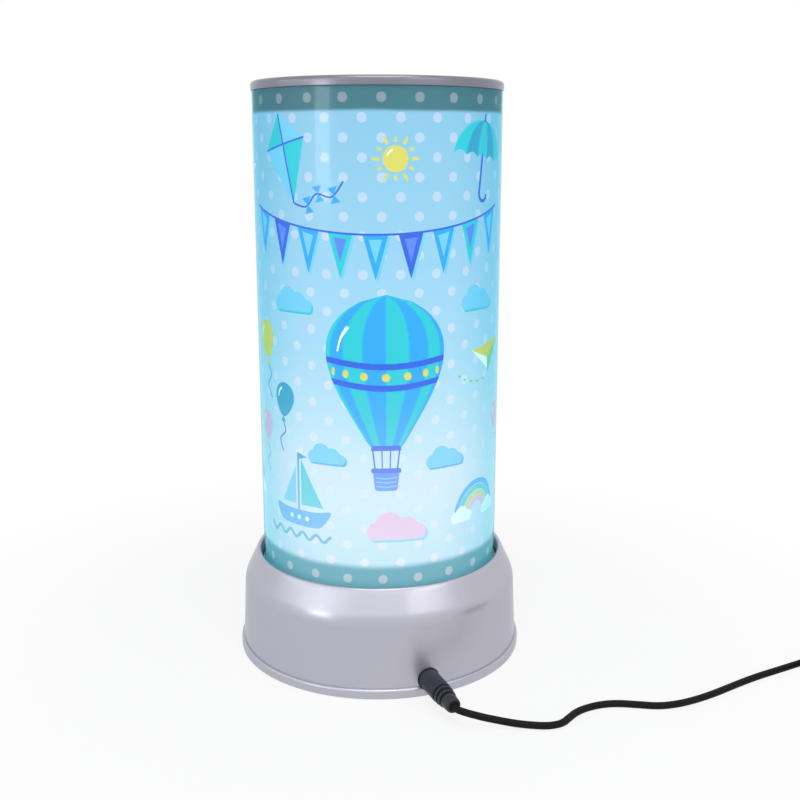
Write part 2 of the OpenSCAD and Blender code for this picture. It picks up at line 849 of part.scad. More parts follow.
module switch_body() {
    color([0.09, 0.09, 0.1])
        difference() {
            union() {
                translate([-switch_l / 2, switch_face - switch_depth, switch_z - switch_h / 2])
                    cube([switch_l, switch_depth + nick, switch_h]);
                translate([-switch_l / 2 - bezel_lap, switch_face, switch_z - switch_h / 2 - bezel_lap])
                    cube([switch_l + 2 * bezel_lap, bezel_t, switch_h + 2 * bezel_lap]);
            }
            translate([-switch_l / 2 + switch_wall, rocker_y - 3.4, switch_z - switch_h / 2 + switch_wall])
                cube([switch_l - 2 * switch_wall, 10, switch_h - 2 * switch_wall]);
            translate([0, rocker_y, switch_z - switch_h / 2 + 0.2])
                cylinder(r = 0.9 + run_fit, h = switch_h - 0.4);
        }
}

module switch_rocker() {
    tip = rocker_half;
    color([0.07, 0.07, 0.08])
        translate([0, rocker_y, switch_z - rocker_high / 2])
            rotate(-rocker_tilt) {
                linear_extrude(rocker_high)
                    polygon([
                        [-tip, 1.9], [-tip * 0.55, 1.35], [0, 1.1], [tip * 0.55, 1.35], [tip, 1.9],
                        [tip - 0.3, -0.6], [tip * 0.4, -1.6], [-tip * 0.4, -1.6], [0.3 - tip, -0.6]
                    ]);
                translate([0, 0, -rocker_room - 0.5])
                    cylinder(r = 0.9, h = rocker_high + 2 * rocker_room + 1);
            }
}

module switch_terminals() {
    color([0.85, 0.83, 0.75])
        for (side = [-1, 1])
            translate([side * 3.5 - 0.4, switch_face - switch_depth - terminal_l, switch_z - 1.5])
                cube([0.8, terminal_l, 3]);
}

module led_board() {
    color([0.93, 0.93, 0.92])
        ring(led_board_r, post_r - 1.5 + 0.1, led_z, led_board_t);
}

module led_chips() {
    color([1, 0.97, 0.85])
        for (i = [0 : led_count - 1])
            rotate(360 * (i + 0.5) / led_count)
                translate([led_board_r - 2 - led_w, -led_w / 2, led_z + led_board_t])
                    cube([led_w, led_w, led_h]);
}

module board_clip() {
    color([0.8, 0.8, 0.82])
        difference() {
            ring(post_r - 1.5 + clip_w, post_r - 1.5 + hold_fit, led_z + led_board_t, clip_t);
            for (side = [0, 180])
                rotate(side)
                    translate([post_r - 1.5 + 0.8, -1, led_z])
                        cube([clip_w, 2, clip_t + led_board_t + 1]);
        }
}

// Leads run as settled loops between the board and what they feed
function header_top(i) = let (spot = header_spots[i])
    [for (along = [0, 1]) spot[0] * [cos(jack_angle), sin(jack_angle)][along]
        + spot[1] * [-sin(jack_angle), cos(jack_angle)][along]];
module led_wires() {
    top = led_z + led_board_t;
    from = header_top(0);
    color([0.9, 0.9, 0.3])
        for (side = [-1, 1])
            swept_tube([
                [from[0] + side, from[1], board_top + header_h],
                [from[0] + side, from[1], board_top + header_h + 3],
                [from[0] * 0.4 + side, from[1] * 0.5, deck_bottom - flange_t - 4],
                [side, 0, deck_bottom - flange_t],
                [side, 0, top + 3.2],
                [side * 2.2, 0, top + 4.4],
                [side * (post_r - 0.2), 0, top + 3.4],
                [side * (post_r - 1.5 + 1.9), 0, top]
            ], 0.5, 6, [0, 1, 0]);
}

module motor_wires() {
    from = header_top(1);
    side_x = motor_at[0];
    side_y = motor_at[1] - motor_r + 0.6;
    color([0.85, 0.2, 0.2])
        for (side = [-1, 1])
            swept_tube([
                [from[0] + side, from[1], board_top + header_h],
                [from[0] + side, from[1], board_top + header_h + 2.5],
                [from[0] + side - 1, from[1] + 3, board_top + header_h + 3.5],
                [side_x + side * 1.2, side_y - 9, board_top + header_h - 4],
                [side_x + side * 1.2, side_y - 4, motor_bottom + 1.2],
                [side_x + side * 1.2, side_y + 0.1, motor_bottom + 1.2]
            ], 0.5, 6, [1, 0, 0.2]);
}

module switch_wires() {
    from = header_top(2);
    back_y = switch_face - switch_depth - terminal_l;
    color([0.15, 0.15, 0.17])
        for (side = [-1, 1])
            swept_tube([
                [from[0] + side, from[1], board_top + header_h],
                [from[0] + side, from[1], board_top + header_h + 2.5],
                [from[0] + 5 + side, from[1] + 6, board_top + header_h + 3],
                [33 + side * 1.5, -2, switch_z + 2],
                [26 + side * 1.5, 24, switch_z + side],
                [17 + side * 1.5, 38, switch_z + side],
                [side * 3.5 + 8, back_y - 4, switch_z + side],
                [side * 3.5 + 1.2, back_y - 3.6, switch_z + side],
                [side * 3.5, back_y - 2, switch_z + side],
                [side * 3.5, back_y, switch_z + side]
            ], 0.5, 6, [1, 0.4, 0.3]);
}

// ---- Drum ----

module turntable() {
    rib_start = table_hole_r + rib_t;
    color([0.88, 0.88, 0.9])
        difference() {
            union() {
                translate([0, 0, table_bottom])
                    cylinder(r = table_r, h = table_t);
                ring(collar_r, collar_r - collar_t, table_top - nick, collar_h + nick);
                for (i = [0 : rib_count - 1])
                    rotate(360 * i / rib_count)
                        translate([rib_start, -rib_t / 2, table_top - nick])
                            cube([diffuser_r - diffuser_t - 0.6 - rib_start, rib_t, rib_h + nick]);
            }
            cylinder(r = table_hole_r, h = cap_top);
        }
}

module drum_hub() {
    color([0.88, 0.88, 0.9])
        difference() {
            union() {
                translate([0, 0, deck_top + washer_t])
                    cylinder(r = post_r + hub_t, h = hub_top - deck_top - washer_t);
                translate([0, 0, table_bottom - hub_flange_t])
                    cylinder(r = hub_flange_r, h = hub_flange_t);
                translate([0, 0, table_bottom - nick])
                    cylinder(r = table_hole_r - hold_fit, h = table_t + nick);
            }
            cylinder(r = post_r + run_fit, h = cap_top);
        }
}

module ring_gear() {
    color([0.9, 0.88, 0.8])
        difference() {
            translate([0, 0, ring_gear_z])
                spur(table_teeth, table_module, table_bottom - ring_gear_z, 0);
            cylinder(r = ring_bore_r, h = cap_top);
        }
}

module clear_tube() {
    color([0.7, 0.9, 1, 0.4])
        ring(tube_r, tube_r - tube_t, table_top, tube_len);
}

module print_film() {
    color([0.55, 0.85, 0.95])
        ring(film_r, film_r - film_t, table_top, tube_len);
}

module diffuser() {
    color([0.98, 0.98, 0.96])
        ring(diffuser_r, diffuser_r - diffuser_t, table_top, roof_bottom - 0.3 - table_top);
}

module top_cap() {
    rim_r = tube_r + cap_lap;
    color([0.72, 0.73, 0.77])
        rotate_extrude()
            difference() {
                polygon(concat(
                    [[0, tube_top], [rim_r, tube_top]],
                    arc([rim_r - cap_round, cap_top - cap_round], cap_round, 0, 90),
                    [[rim_r - cap_border, cap_top], [rim_r - cap_border - cap_dish, cap_top - cap_dish]],
                    [[0, cap_top - cap_dish]]
                ));
                translate([-1, tube_top - 1])
                    square([collar_r - collar_t + 1, roof_bottom - tube_top + 1]);
            }
    color([0.72, 0.73, 0.77])
        ring(collar_r, collar_r - collar_t, tube_top - skirt_h, skirt_h + nick);
}

// ---- Gear train ----

module output_gear() {
    color([0.93, 0.92, 0.86])
        at(output_at)
            difference() {
                union() {
                    translate([0, 0, output_wheel_z - 0.7])
                        cylinder(r = pin_foot_r + 0.8, h = 1);
                    translate([0, 0, output_wheel_z])
                        spur(wheel_teeth, stage_module, wheel_face, output_turn);
                    translate([0, 0, output_wheel_z + wheel_face - nick])
                        cylinder(r = neck_r, h = pinion_z - output_wheel_z - wheel_face + 2 * nick);
                    translate([0, 0, pinion_z])
                        spur(pinion_teeth, table_module, table_face + 0.2, output_turn);
                }
                translate([0, 0, plate_top])
                    cylinder(r = pin_r + run_fit, h = cap_top);
            }
}

module idler_gear() {
    color([0.93, 0.92, 0.86])
        at(idler_at)
            difference() {
                union() {
                    translate([0, 0, plate_top + gear_step])
                        cylinder(r = pin_r + 1.6, h = idler_hub_h + nick);
                    translate([0, 0, idler_wheel_z])
                        spur(wheel_teeth, stage_module, wheel_face, idler_turn);
                    translate([0, 0, idler_wheel_z + wheel_face - nick])
                        spur(pinion_teeth, stage_module, 2 * wheel_face + 0.2, idler_turn);
                }
                cylinder(r = pin_r + run_fit, h = cap_top);
            }
}

module motor_pinion() {
    color([0.85, 0.7, 0.35])
        at(motor_at, idler_wheel_z - 0.4)
            difference() {
                spur(pinion_teeth, stage_module, wheel_face + 0.8, motor_turn);
                translate([0, 0, -nick])
                    cylinder(r = shaft_r + hold_fit, h = wheel_face + 2);
            }
}

module motor_shaft() {
    color([0.85, 0.85, 0.87])
        at(motor_at, motor_bottom + 1.2)
            cylinder(r = shaft_r, h = idler_wheel_z + wheel_face + 0.8 - motor_bottom - 1.2);
}

// ---- Power lead ----

module plug_grip() {
    groove_w = 0.8;
    groove_depth = 0.8;
    function ring_r(k) = plug_r - (plug_r - plug_block_r) * pow(k / relief_grooves, 1.5);
    function groove_at(k) = plug_l - plug_block_l - groove_w - (relief_grooves - 1 - k) * groove_pitch;
    grooves = [for (k = [0 : relief_grooves - 1])
        let (x = groove_at(k), next_r = ring_r(k + 1), floor_r = next_r - groove_depth)
        each [
            [ring_r(k) - 0.1, x - 0.3],
            [floor_r, x],
            [floor_r, x + groove_w],
            [next_r, x + groove_w + 0.3]
        ]
    ];
    color([0.1, 0.1, 0.12])
        on_socket(socket_face)
            rotate_extrude()
                polygon(concat(
                    [[0, 0], [plug_r - 0.3, 0], [plug_r, 0.5]],
                    grooves,
                    [[plug_block_r - 0.3, plug_l - 0.6], [plug_block_r - 0.7, plug_l], [0, plug_l]]
                ));
}

module plug_sleeve() {
    color([0.8, 0.8, 0.82])
        on_socket(socket_face - sleeve_l)
            ring(sleeve_r, 1 + 0.1, 0, sleeve_l);
}

module power_lead() {
    color([0.09, 0.09, 0.11])
        swept_tube(lead_route, lead_r, 8);
}

// Loops wind in and out again, and climb a layer in the half turn where the spiral reverses
layer_turns = coil_turns / coil_layers;
function coil_point(turn) =
    let (
        layer = min(floor(turn / layer_turns), coil_layers - 1),
        part = turn - layer * layer_turns,
        depth = layer % 2 == 0 ? part : layer_turns - part,
        after = layer > 0 ? min(1, max(0, part / 0.5 + 0.5)) : 1,
        before = layer < coil_layers - 1 ? min(1, max(0, (part - layer_turns) / 0.5 + 0.5)) : 0,
        level = layer - 1 + after + before,
        spot = polar(coil_r - coil_pitch * depth, coil_in_angle - 360 * turn)
    )
    [coil_at[0] + spot[0], coil_at[1] + spot[1], lead_r + coil_pitch * level];
rings_per_turn = 24;
coil_steps = ceil(coil_turns * rings_per_turn);
coil_line = [for (k = [0 : coil_steps]) coil_point(coil_turns * k / coil_steps)];
coil_path = concat(
    [[coil_start[0], coil_start[1], lead_r]],
    coil_line,
    [[coil_end[0], coil_end[1], coil_top_z]]
);
// Least gap between turns, from every ring to the rings at least half a turn on
coil_gap = min([for (i = [0 : coil_steps], j = [i + rings_per_turn / 2 : 1 : coil_steps])
    norm(coil_line[i] - coil_line[j])]) - lead_d;

module lead_coil() {
    echo(least_gap_between_turns = coil_gap);
    color([0.09, 0.09, 0.11])
        swept_tube(coil_path, lead_r, 6);
}

// Turns X to point out of the coil's end, at the height of its top layer
module along_adapter() {
    translate([coil_end[0], coil_end[1], coil_top_z])
        rotate(atan2(coil_out_dir[1], coil_out_dir[0]))
            children();
}

module wall_adapter() {
    low = adapter_round - coil_top_z;
    high = coil_top_z - adapter_round;
    far_side = adapter_w - adapter_round;
    color([0.1, 0.1, 0.12])
        along_adapter() {
            rotate([0, 90, 0])
                cylinder(r1 = lead_r + 0.9, r2 = lead_r + 1.6, h = relief_l + nick);
            difference() {
                translate([relief_l, -adapter_w / 2, 0])
                    rotate([0, 90, 0])
                        linear_extrude(adapter_l)
                            polygon(concat(
                                arc([high, far_side], adapter_round, 0, 90),
                                arc([low, far_side], adapter_round, 90, 180),
                                arc([low, adapter_round], adapter_round, 180, 270),
                                arc([high, adapter_round], adapter_round, 270, 360)
                            ));
                for (side = [-1, 1])
                    translate([relief_l + adapter_l - 4, side * mains_pin_gap / 2, 0])
                        rotate([0, 90, 0])
                            cylinder(r = mains_pin_r + hold_fit, h = 5);
            }
        }
}

module adapter_pins() {
    color([0.82, 0.8, 0.72])
        along_adapter()
            for (side = [-1, 1])
                translate([relief_l + adapter_l - 4, side * mains_pin_gap / 2, 0])
                    rotate([0, 90, 0])
                        cylinder(r = mains_pin_r, h = mains_pin_l + 4);
}

base_shell();
bottom_cover();
rubber_feet();
cover_screws();
spindle_post();
post_screws();
thrust_washer();
gear_plate();
plate_screws();
idler_pin();
output_pin();
motor_can();
motor_end();
motor_screws();
driver_board();
board_screws();
capacitors();
driver_chip();
wire_headers();
power_socket();
socket_pin();
switch_body();
switch_terminals();
led_board();
led_chips();
board_clip();
led_wires();
motor_wires();
switch_wires();
turntable();
drum_hub();
ring_gear();
clear_tube();
print_film();
diffuser();
top_cap();
output_gear();
idler_gear();
motor_pinion();
motor_shaft();
switch_rocker();
plug_grip();
plug_sleeve();
power_lead();
lead_coil();
wall_adapter();
adapter_pins();
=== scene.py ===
import json
import math
import bpy
from mathutils import Matrix, Vector


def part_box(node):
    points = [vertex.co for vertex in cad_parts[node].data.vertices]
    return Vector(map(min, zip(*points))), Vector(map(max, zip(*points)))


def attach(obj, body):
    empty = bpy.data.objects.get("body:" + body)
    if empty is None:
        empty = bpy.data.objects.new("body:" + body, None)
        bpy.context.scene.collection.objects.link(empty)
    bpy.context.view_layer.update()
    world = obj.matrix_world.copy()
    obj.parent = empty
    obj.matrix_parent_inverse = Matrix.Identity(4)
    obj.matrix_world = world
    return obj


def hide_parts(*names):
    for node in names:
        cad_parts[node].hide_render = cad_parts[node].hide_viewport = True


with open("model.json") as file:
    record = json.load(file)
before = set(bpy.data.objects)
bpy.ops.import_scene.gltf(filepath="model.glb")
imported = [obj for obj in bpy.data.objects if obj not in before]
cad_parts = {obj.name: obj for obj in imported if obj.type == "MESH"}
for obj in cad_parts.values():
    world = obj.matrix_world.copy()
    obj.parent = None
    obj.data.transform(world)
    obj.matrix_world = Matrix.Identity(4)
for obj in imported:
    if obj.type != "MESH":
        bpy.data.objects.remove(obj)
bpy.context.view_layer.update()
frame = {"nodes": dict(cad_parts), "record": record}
mm = 0.001


studio = {
    "cameraPlace": (0.00962, -0.4842, 0.2269),
    "cameraPitch": 13.08,
    "lens": 49.23,
    "sensor": 36,
    "floorSize": 5,
    "floorColour": (0.9, 0.9, 0.9, 1),
    "shadowShare": 0.16,
    "shadowReach": (0.10, 0.30),
    "worldStrength": 0.46,
}
# name: place, what it points at, size across, size up, power in watts,
# and whether it mirrors in glossy surfaces
softboxes = {
    "leftSoftbox": ((-0.77, -0.71, 0.27), (0, 0, 0.24), 0.26, 0.22, 0.8, True),
    "rightSoftbox": ((0.9, -0.75, 0.5), (0, 0, 0.1), 0.6, 0.8, 1.4, False),
    "topSoftbox": ((0.05, -0.45, 1.15), (0, 0, 0.03), 0.8, 0.5, 4, True),
    "leftStrip": ((-1.06, -0.25, 0.44), (0, 0, 0.04), 0.7, 0.12, 0.5, True),
    "frontLeftStrip": ((-0.66, -0.79, 0.575), (0, 0, 0.04), 0.7, 0.12, 0.48, True),
    "frontStrip": ((0.0, -1.0, 0.625), (0, 0, 0.04), 0.7, 0.12, 0.46, True),
    "frontRightStrip": ((0.71, -0.74, 0.58), (0, 0, 0.04), 0.7, 0.12, 0.95, True),
}


class Flow:
    # a socket of a node tree, so that shader maths reads as plain expressions
    def __init__(self, tree, socket=None):
        self.tree, self.socket = tree, socket

    def node(self, kind, settings=None, values=None, out=0):
        made = self.tree.nodes.new(kind)
        for name, value in (settings or {}).items():
            if name == "stops":
                while len(made.color_ramp.elements) < len(value):
                    made.color_ramp.elements.new(0.5)
                for stop, (place, colour) in zip(made.color_ramp.elements, value):
                    stop.position, stop.color = place, colour
            else:
                setattr(made, name, value)
        for name, value in (values or {}).items():
            if isinstance(value, Flow):
                self.tree.links.new(value.socket, made.inputs[name])
            else:
                made.inputs[name].default_value = value
        return Flow(self.tree, made.outputs[out])

    def maths(self, operation, *terms):
        return self.node("ShaderNodeMath", {"operation": operation}, dict(enumerate(terms)))

    def __add__(self, other):
        return self.maths("ADD", self, other)

    def __sub__(self, other):
        return self.maths("SUBTRACT", self, other)

    def __rsub__(self, other):
        return self.maths("SUBTRACT", other, self)

    def __mul__(self, other):
        return self.maths("MULTIPLY", self, other)

    def __truediv__(self, other):
        return self.maths("DIVIDE", self, other)

    def power(self, exponent):
        return self.maths("POWER", self, exponent)

    # 0 up to low, 1 from high on, or the other way round where low is the higher
    def step(self, low, high):
        if low > high:
            return 1 - self.step(high, low)
        return self.node("ShaderNodeMapRange", {"interpolation_type": "SMOOTHSTEP"},
                         {"Value": self, "From Min": low, "From Max": high})

    def mixColour(self, low, high):
        return self.node("ShaderNodeMix", {"data_type": "RGBA"}, {0: self, 6: low, 7: high}, out=2)

    def part(self, name):
        return self.node("ShaderNodeSeparateXYZ", None, {0: self}, out="XYZ".index(name))

    def noise(self, scale, detail=3, rough=0.5):
        return self.node("ShaderNodeTexNoise", None,
                         {"Vector": self, "Scale": scale, "Detail": detail, "Roughness": rough})


def newMaterial(name):
    material = bpy.data.materials.new(name)
    material.use_nodes = True
    material.node_tree.nodes.clear()
    return material, Flow(material.node_tree)


def objectPlace(flow):
    return flow.node("ShaderNodeTexCoord", out=3)


def putOut(flow, shader):
    ending = flow.tree.nodes.new("ShaderNodeOutputMaterial")
    flow.tree.links.new(shader.socket, ending.inputs["Surface"])


def seesBackground(flow):
    # camera, mirror and glass rays all meet the same white
    rays = [flow.node("ShaderNodeLightPath", out=name)
            for name in ("Is Camera Ray", "Is Glossy Ray", "Is Transmission Ray")]
    return flow.maths("MINIMUM", rays[0] + rays[1] + rays[2], 1)


def makeStudio():
    scene = bpy.context.scene
    scene.view_settings.view_transform = "Standard"
    world = bpy.data.worlds.new("paleRoom")
    world.use_nodes = True
    world.node_tree.nodes.clear()
    flow = Flow(world.node_tree)
    strength = seesBackground(flow) * (1 - studio["worldStrength"]) + studio["worldStrength"]
    sky = flow.node("ShaderNodeBackground", None, {"Color": (1, 1, 1, 1), "Strength": strength})
    out = world.node_tree.nodes.new("ShaderNodeOutputWorld")
    world.node_tree.links.new(sky.socket, out.inputs["Surface"])
    scene.world = world

    bpy.ops.object.select_all(action="DESELECT")
    bpy.ops.mesh.primitive_plane_add(size=studio["floorSize"], location=(0, 0, 0))
    floor = bpy.context.object
    floor.name = "floor"
    material, flow = newMaterial("paleFloor")
    paper = flow.node("ShaderNodeBsdfDiffuse", None, {"Color": studio["floorColour"]})
    white = flow.node("ShaderNodeEmission", None, {"Color": (1, 1, 1, 1), "Strength": 1})
    place = objectPlace(flow)
    reach = (place.part("X") * place.part("X") + place.part("Y") * place.part("Y")).power(0.5)
    shadow = reach.step(studio["shadowReach"][1], studio["shadowReach"][0]) * studio["shadowShare"]
    seen = seesBackground(flow) * (1 - shadow)
    putOut(flow, flow.node("ShaderNodeMixShader", None, {0: seen, 1: paper, 2: white}))
    floor.data.materials.append(material)

    for name, (place, aim, across, up, power, mirrored) in softboxes.items():
        lamp = bpy.data.lights.new(name, "AREA")
        lamp.shape, lamp.size, lamp.size_y, lamp.energy = "RECTANGLE", across, up, power
        holder = bpy.data.objects.new(name, lamp)
        scene.collection.objects.link(holder)
        holder.visible_glossy = mirrored
        holder.location = place
        holder.rotation_euler = (Vector(aim) - Vector(place)).to_track_quat("-Z", "Y").to_euler()

    eye = bpy.data.cameras.new("photoCamera")
    eye.lens, eye.sensor_width = studio["lens"], studio["sensor"]
    eye.clip_start, eye.clip_end = 0.01, 20
    camera = bpy.data.objects.new("photoCamera", eye)
    scene.collection.objects.link(camera)
    camera.location = studio["cameraPlace"]
    camera.rotation_euler = (math.radians(90 - studio["cameraPitch"]), 0, 0)
    scene.camera = camera


makeStudio()
print("studio ready")


def driven(flow, constants, **links):
    # a Principled shader: fixed numbers on its own sockets, patterns through links
    values = dict(constants)
    values.update({name.replace("_", " "): value for name, value in links.items()})
    return flow.node("ShaderNodeBsdfPrincipled", None, values)


def bumped(flow, height, distance):
    return flow.node("ShaderNodeBump", None, {"Height": height, "Distance": distance})


def tinted(colour, factor):
    return tuple(min(1, c * factor) for c in colour[:3]) + (1,)


# moulded plastic, rubber or painted parts: fine grain, faint mottling, a little unevenness in the gloss
def mouldedFinish(name, colour, rough=0.45, grain=0.03, grainSize=0.0006, gloss=0.5):
    material, flow = newMaterial(name)
    place = objectPlace(flow)
    broad, fine = place.noise(60, 2), place.noise(1 / grainSize, 3)
    shade = broad.step(0.3, 0.7).mixColour(tinted(colour, 0.93), tinted(colour, 1.06))
    putOut(flow, driven(flow, {"Specular IOR Level": gloss}, Base_Color=shade,
                        Roughness=fine * 0.12 + (rough - 0.06), Normal=bumped(flow, fine, grain * mm)))
    return material


# turned, drawn or stamped metal: fine lines round the axis, slightly uneven gloss
def metalFinish(name, colour, rough=0.28, lines=1500):
    material, flow = newMaterial(name)
    place = objectPlace(flow)
    stretched = flow.node("ShaderNodeMapping", None, {"Vector": place, "Scale": (0.15, 0.15, 1)})
    scratches, broad = stretched.noise(lines, 2), place.noise(80, 2)
    shade = broad.step(0.3, 0.7).mixColour(tinted(colour, 0.9), tinted(colour, 1.05))
    putOut(flow, driven(flow, {"Metallic": 1}, Base_Color=shade, Roughness=scratches * 0.2 + (rough - 0.1),
                        Normal=bumped(flow, scratches, 0.01 * mm)))
    return material


silver = {
    "paint": (0.46, 0.47, 0.545),
    "warm": (0.485, 0.475, 0.54),
    "metallic": 0.8,
    "rough": 0.33,
    "edgeTint": (0.7, 0.7, 0.74, 1),
    "flakeSize": 0.00022,
    "coat": 0.4,
    "coatRough": 0.15,
}


# sprayed silver: fine flakes that differ in tone and gloss, slight orange peel and a clear coat
def silverPaint(name, paint, warm, coat):
    material, flow = newMaterial(name)
    place = objectPlace(flow)
    flake = flow.node("ShaderNodeTexVoronoi", {"feature": "F1"},
                      {"Vector": place, "Scale": 1 / silver["flakeSize"]}, out=1)
    sparkle = flake.part("X")
    broad, peel = place.noise(14, 2), place.noise(420, 2)
    dust = place.noise(330, 2).step(0.74, 0.80)
    hue = broad.step(0.35, 0.65).mixColour(paint + (1,), warm + (1,))
    level = sparkle * 0.06 + 0.97 - dust * 0.05
    shade = flow.node("ShaderNodeMix", {"data_type": "RGBA", "blend_type": "MULTIPLY"},
                      {0: 1.0, 6: hue, 7: level.mixColour((0, 0, 0, 1), (1, 1, 1, 1))}, out=2)
    constants = {"Metallic": silver["metallic"], "Specular Tint": silver["edgeTint"],
                 "Coat Weight": coat, "Coat Roughness": silver["coatRough"]}
    uneven = sparkle * 0.1 + (silver["rough"] - 0.05)
    putOut(flow, driven(flow, constants, Base_Color=shade, Roughness=uneven,
                        Normal=bumped(flow, peel, 0.006 * mm)))
    return material


def asPiece(name, body, slot, *nodes):
    piece = bpy.context.object
    piece.name = name
    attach(piece, body)
    if nodes:
        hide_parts(*nodes)
    return piece


def arc(centre, radius, start, end, steps):
    turns = [math.radians(start + (end - start) * k / steps) for k in range(steps + 1)]
    return [(centre[0] + radius * math.cos(t), centre[1] + radius * math.sin(t)) for t in turns]


# a ring of edges drawn out from one radius and height to the next, as on a lathe
def lathe(outline, segments):
    bpy.ops.object.select_all(action="DESELECT")
    radius, height = outline[0]
    bpy.ops.mesh.primitive_circle_add(vertices=segments, radius=radius, location=(0, 0, height))
    bpy.ops.object.transform_apply(location=True, rotation=True, scale=True)
    bpy.ops.object.mode_set(mode="EDIT")
    bpy.ops.mesh.select_all(action="SELECT")
    for (r0, z0), (r1, z1) in zip(outline, outline[1:] + outline[:1]):
        bpy.ops.mesh.extrude_region_move(TRANSFORM_OT_translate={"value": (0, 0, z1 - z0)})
        bpy.ops.transform.resize(value=(r1 / r0, r1 / r0, 1), center_override=(0, 0, 0))
    bpy.ops.mesh.select_all(action="SELECT")
    bpy.ops.mesh.remove_doubles(threshold=0.005 * mm)
    bpy.ops.mesh.normals_make_consistent(inside=False)
    bpy.ops.object.mode_set(mode="OBJECT")


# the small rings left on the axis shrink to a point each
def closePoles(piece, within=0.001):
    for vertex in piece.data.vertices:
        if vertex.co.xy.length < within:
            vertex.co.x = vertex.co.y = 0
    bpy.ops.object.mode_set(mode="EDIT")
    bpy.ops.mesh.select_all(action="SELECT")
    bpy.ops.mesh.remove_doubles(threshold=0.005 * mm)
    bpy.ops.object.mode_set(mode="OBJECT")


def smoothBy(piece, angle):
    bpy.ops.object.select_all(action="DESELECT")
    piece.select_set(True)
    bpy.context.view_layer.objects.active = piece
    bpy.ops.object.shade_smooth_by_angle(angle=math.radians(angle))


def cutWith(piece, cutter):
    bpy.context.view_layer.objects.active = piece
    cut = piece.modifiers.new("cut", "BOOLEAN")
    cut.operation, cut.solver, cut.object = "DIFFERENCE", "EXACT", cutter
    bpy.ops.object.modifier_apply(modifier=cut.name)
    bpy.data.objects.remove(cutter)


plug = {
    "angle": -68,
    "aside": -0.0022,
    "height": 0.0072,
    "seat": 0.0607186,
    "length": 0.0283,
    "radius": 0.0045,
    "blockRadius": 0.0035,
    "blockLength": 0.0052,
    "grooves": 3,
    "groovePitch": 0.00265,
    "grooveWidth": 0.0008,
    "holeRoom": 0.0004,
    "holeDepth": 0.012,
    "segments": 64,
}
plugTurn = Matrix.Rotation(math.radians(plug["angle"]), 4, "Z")
lead = {
    "radius": 0.0015,
    "length": 1.33,
    "colour": (0.0055, 0.0055, 0.008),
    "route": [
        (0.0319, -0.0846, 0.00705), (0.0331, -0.0856, 0.0068), (0.0349, -0.0863, 0.00645),
        (0.0372, -0.0869, 0.0060), (0.0397, -0.0873, 0.0055), (0.0430, -0.0877, 0.0048),
        (0.0475, -0.0879, 0.0039), (0.0520, -0.0880, 0.0030), (0.0575, -0.0881, 0.0021),
        (0.0630, -0.0882, 0.0016), (0.0668, -0.0884, 0.0015), (0.0706, -0.0880, 0.0015),
        (0.0746, -0.0862, 0.0015), (0.0782, -0.0820, 0.0015), (0.0820, -0.0775, 0.0015),
        (0.0882, -0.0734, 0.0015), (0.0944, -0.0712, 0.0015), (0.1003, -0.0706, 0.0015),
        (0.1075, -0.0714, 0.0015), (0.1165, -0.0724, 0.0015), (0.1240, -0.0710, 0.0015),
        (0.1300, -0.0687, 0.0015), (0.1365, -0.0654, 0.0015), (0.1436, -0.0611, 0.0015),
        (0.1506, -0.0564, 0.0015), (0.1575, -0.0518, 0.0015), (0.1650, -0.0471, 0.0015),
        (0.1730, -0.0426, 0.0015), (0.1810, -0.0382, 0.0015), (0.1884, -0.0341, 0.0015),
        (0.1957, -0.0299, 0.0015),
    ],
    "coilAt": (0.216, -0.043),
    "coilRadius": 0.0215,
    "coilPitch": 0.0035,
    "coilTurns": 10.4167,
    "coilLayers": 4,
    "coilStart": 120,
    "tail": 0.020,
    "pointsPerTurn": 24,
}


def polar(radius, angle):
    return Vector((radius * math.cos(math.radians(angle)), radius * math.sin(math.radians(angle))))


# the turns spiral in and out again, and climb a layer in the half turn where the spiral reverses
def coilPoint(turn):
    layerTurns = lead["coilTurns"] / lead["coilLayers"]
    layer = min(int(turn / layerTurns), lead["coilLayers"] - 1)
    share = turn - layer * layerTurns
    depth = share if layer % 2 == 0 else layerTurns - share
    after = min(1, max(0, share / 0.5 + 0.5)) if layer > 0 else 1
    before = min(1, max(0, (share - layerTurns) / 0.5 + 0.5)) if layer < lead["coilLayers"] - 1 else 0
    reach = lead["coilRadius"] - lead["coilPitch"] * depth
    spot = Vector(lead["coilAt"]) + polar(reach, lead["coilStart"] - 360 * turn)
    return spot.to_3d() + Vector((0, 0, lead["radius"] + lead["coilPitch"] * (layer - 1 + after + before)))


def makeLead():
    leadOut = plugTurn @ Vector((plug["seat"] + plug["length"], plug["aside"], plug["height"]))
    steps = math.ceil(lead["coilTurns"] * lead["pointsPerTurn"])
    coil = [coilPoint(lead["coilTurns"] * k / steps) for k in range(steps + 1)]
    inward = polar(1, lead["coilStart"] - 90).to_3d()
    outAngle = lead["coilStart"] - 360 * lead["coilTurns"] - 90
    points = [leadOut] + [Vector(p) for p in lead["route"]] + [coil[0] - 2 * lead["radius"] * inward] + coil
    points.append(coil[-1] + lead["tail"] * polar(1, outAngle).to_3d())
    line = bpy.data.curves.new("lead", "CURVE")
    line.dimensions = "3D"
    line.bevel_depth, line.bevel_resolution, line.use_fill_caps = lead["radius"], 4, True
    line.resolution_u = 4
    spline = line.splines.new("BEZIER")
    spline.bezier_points.add(len(points) - 1)
    for knot, point in zip(spline.bezier_points, points):
        knot.co = point
        knot.handle_left_type = knot.handle_right_type = "AUTO"
    cable = bpy.data.objects.new("lead", line)
    bpy.context.scene.collection.objects.link(cable)
    line.materials.append(mouldedFinish("leadSleeve", lead["colour"], 0.6, 0.02, 0.0009, 0.15))
    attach(cable, "base")
    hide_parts("power_lead", "lead_coil")
    return cable, leadOut


cable, leadOut = makeLead()
print("lead ready")


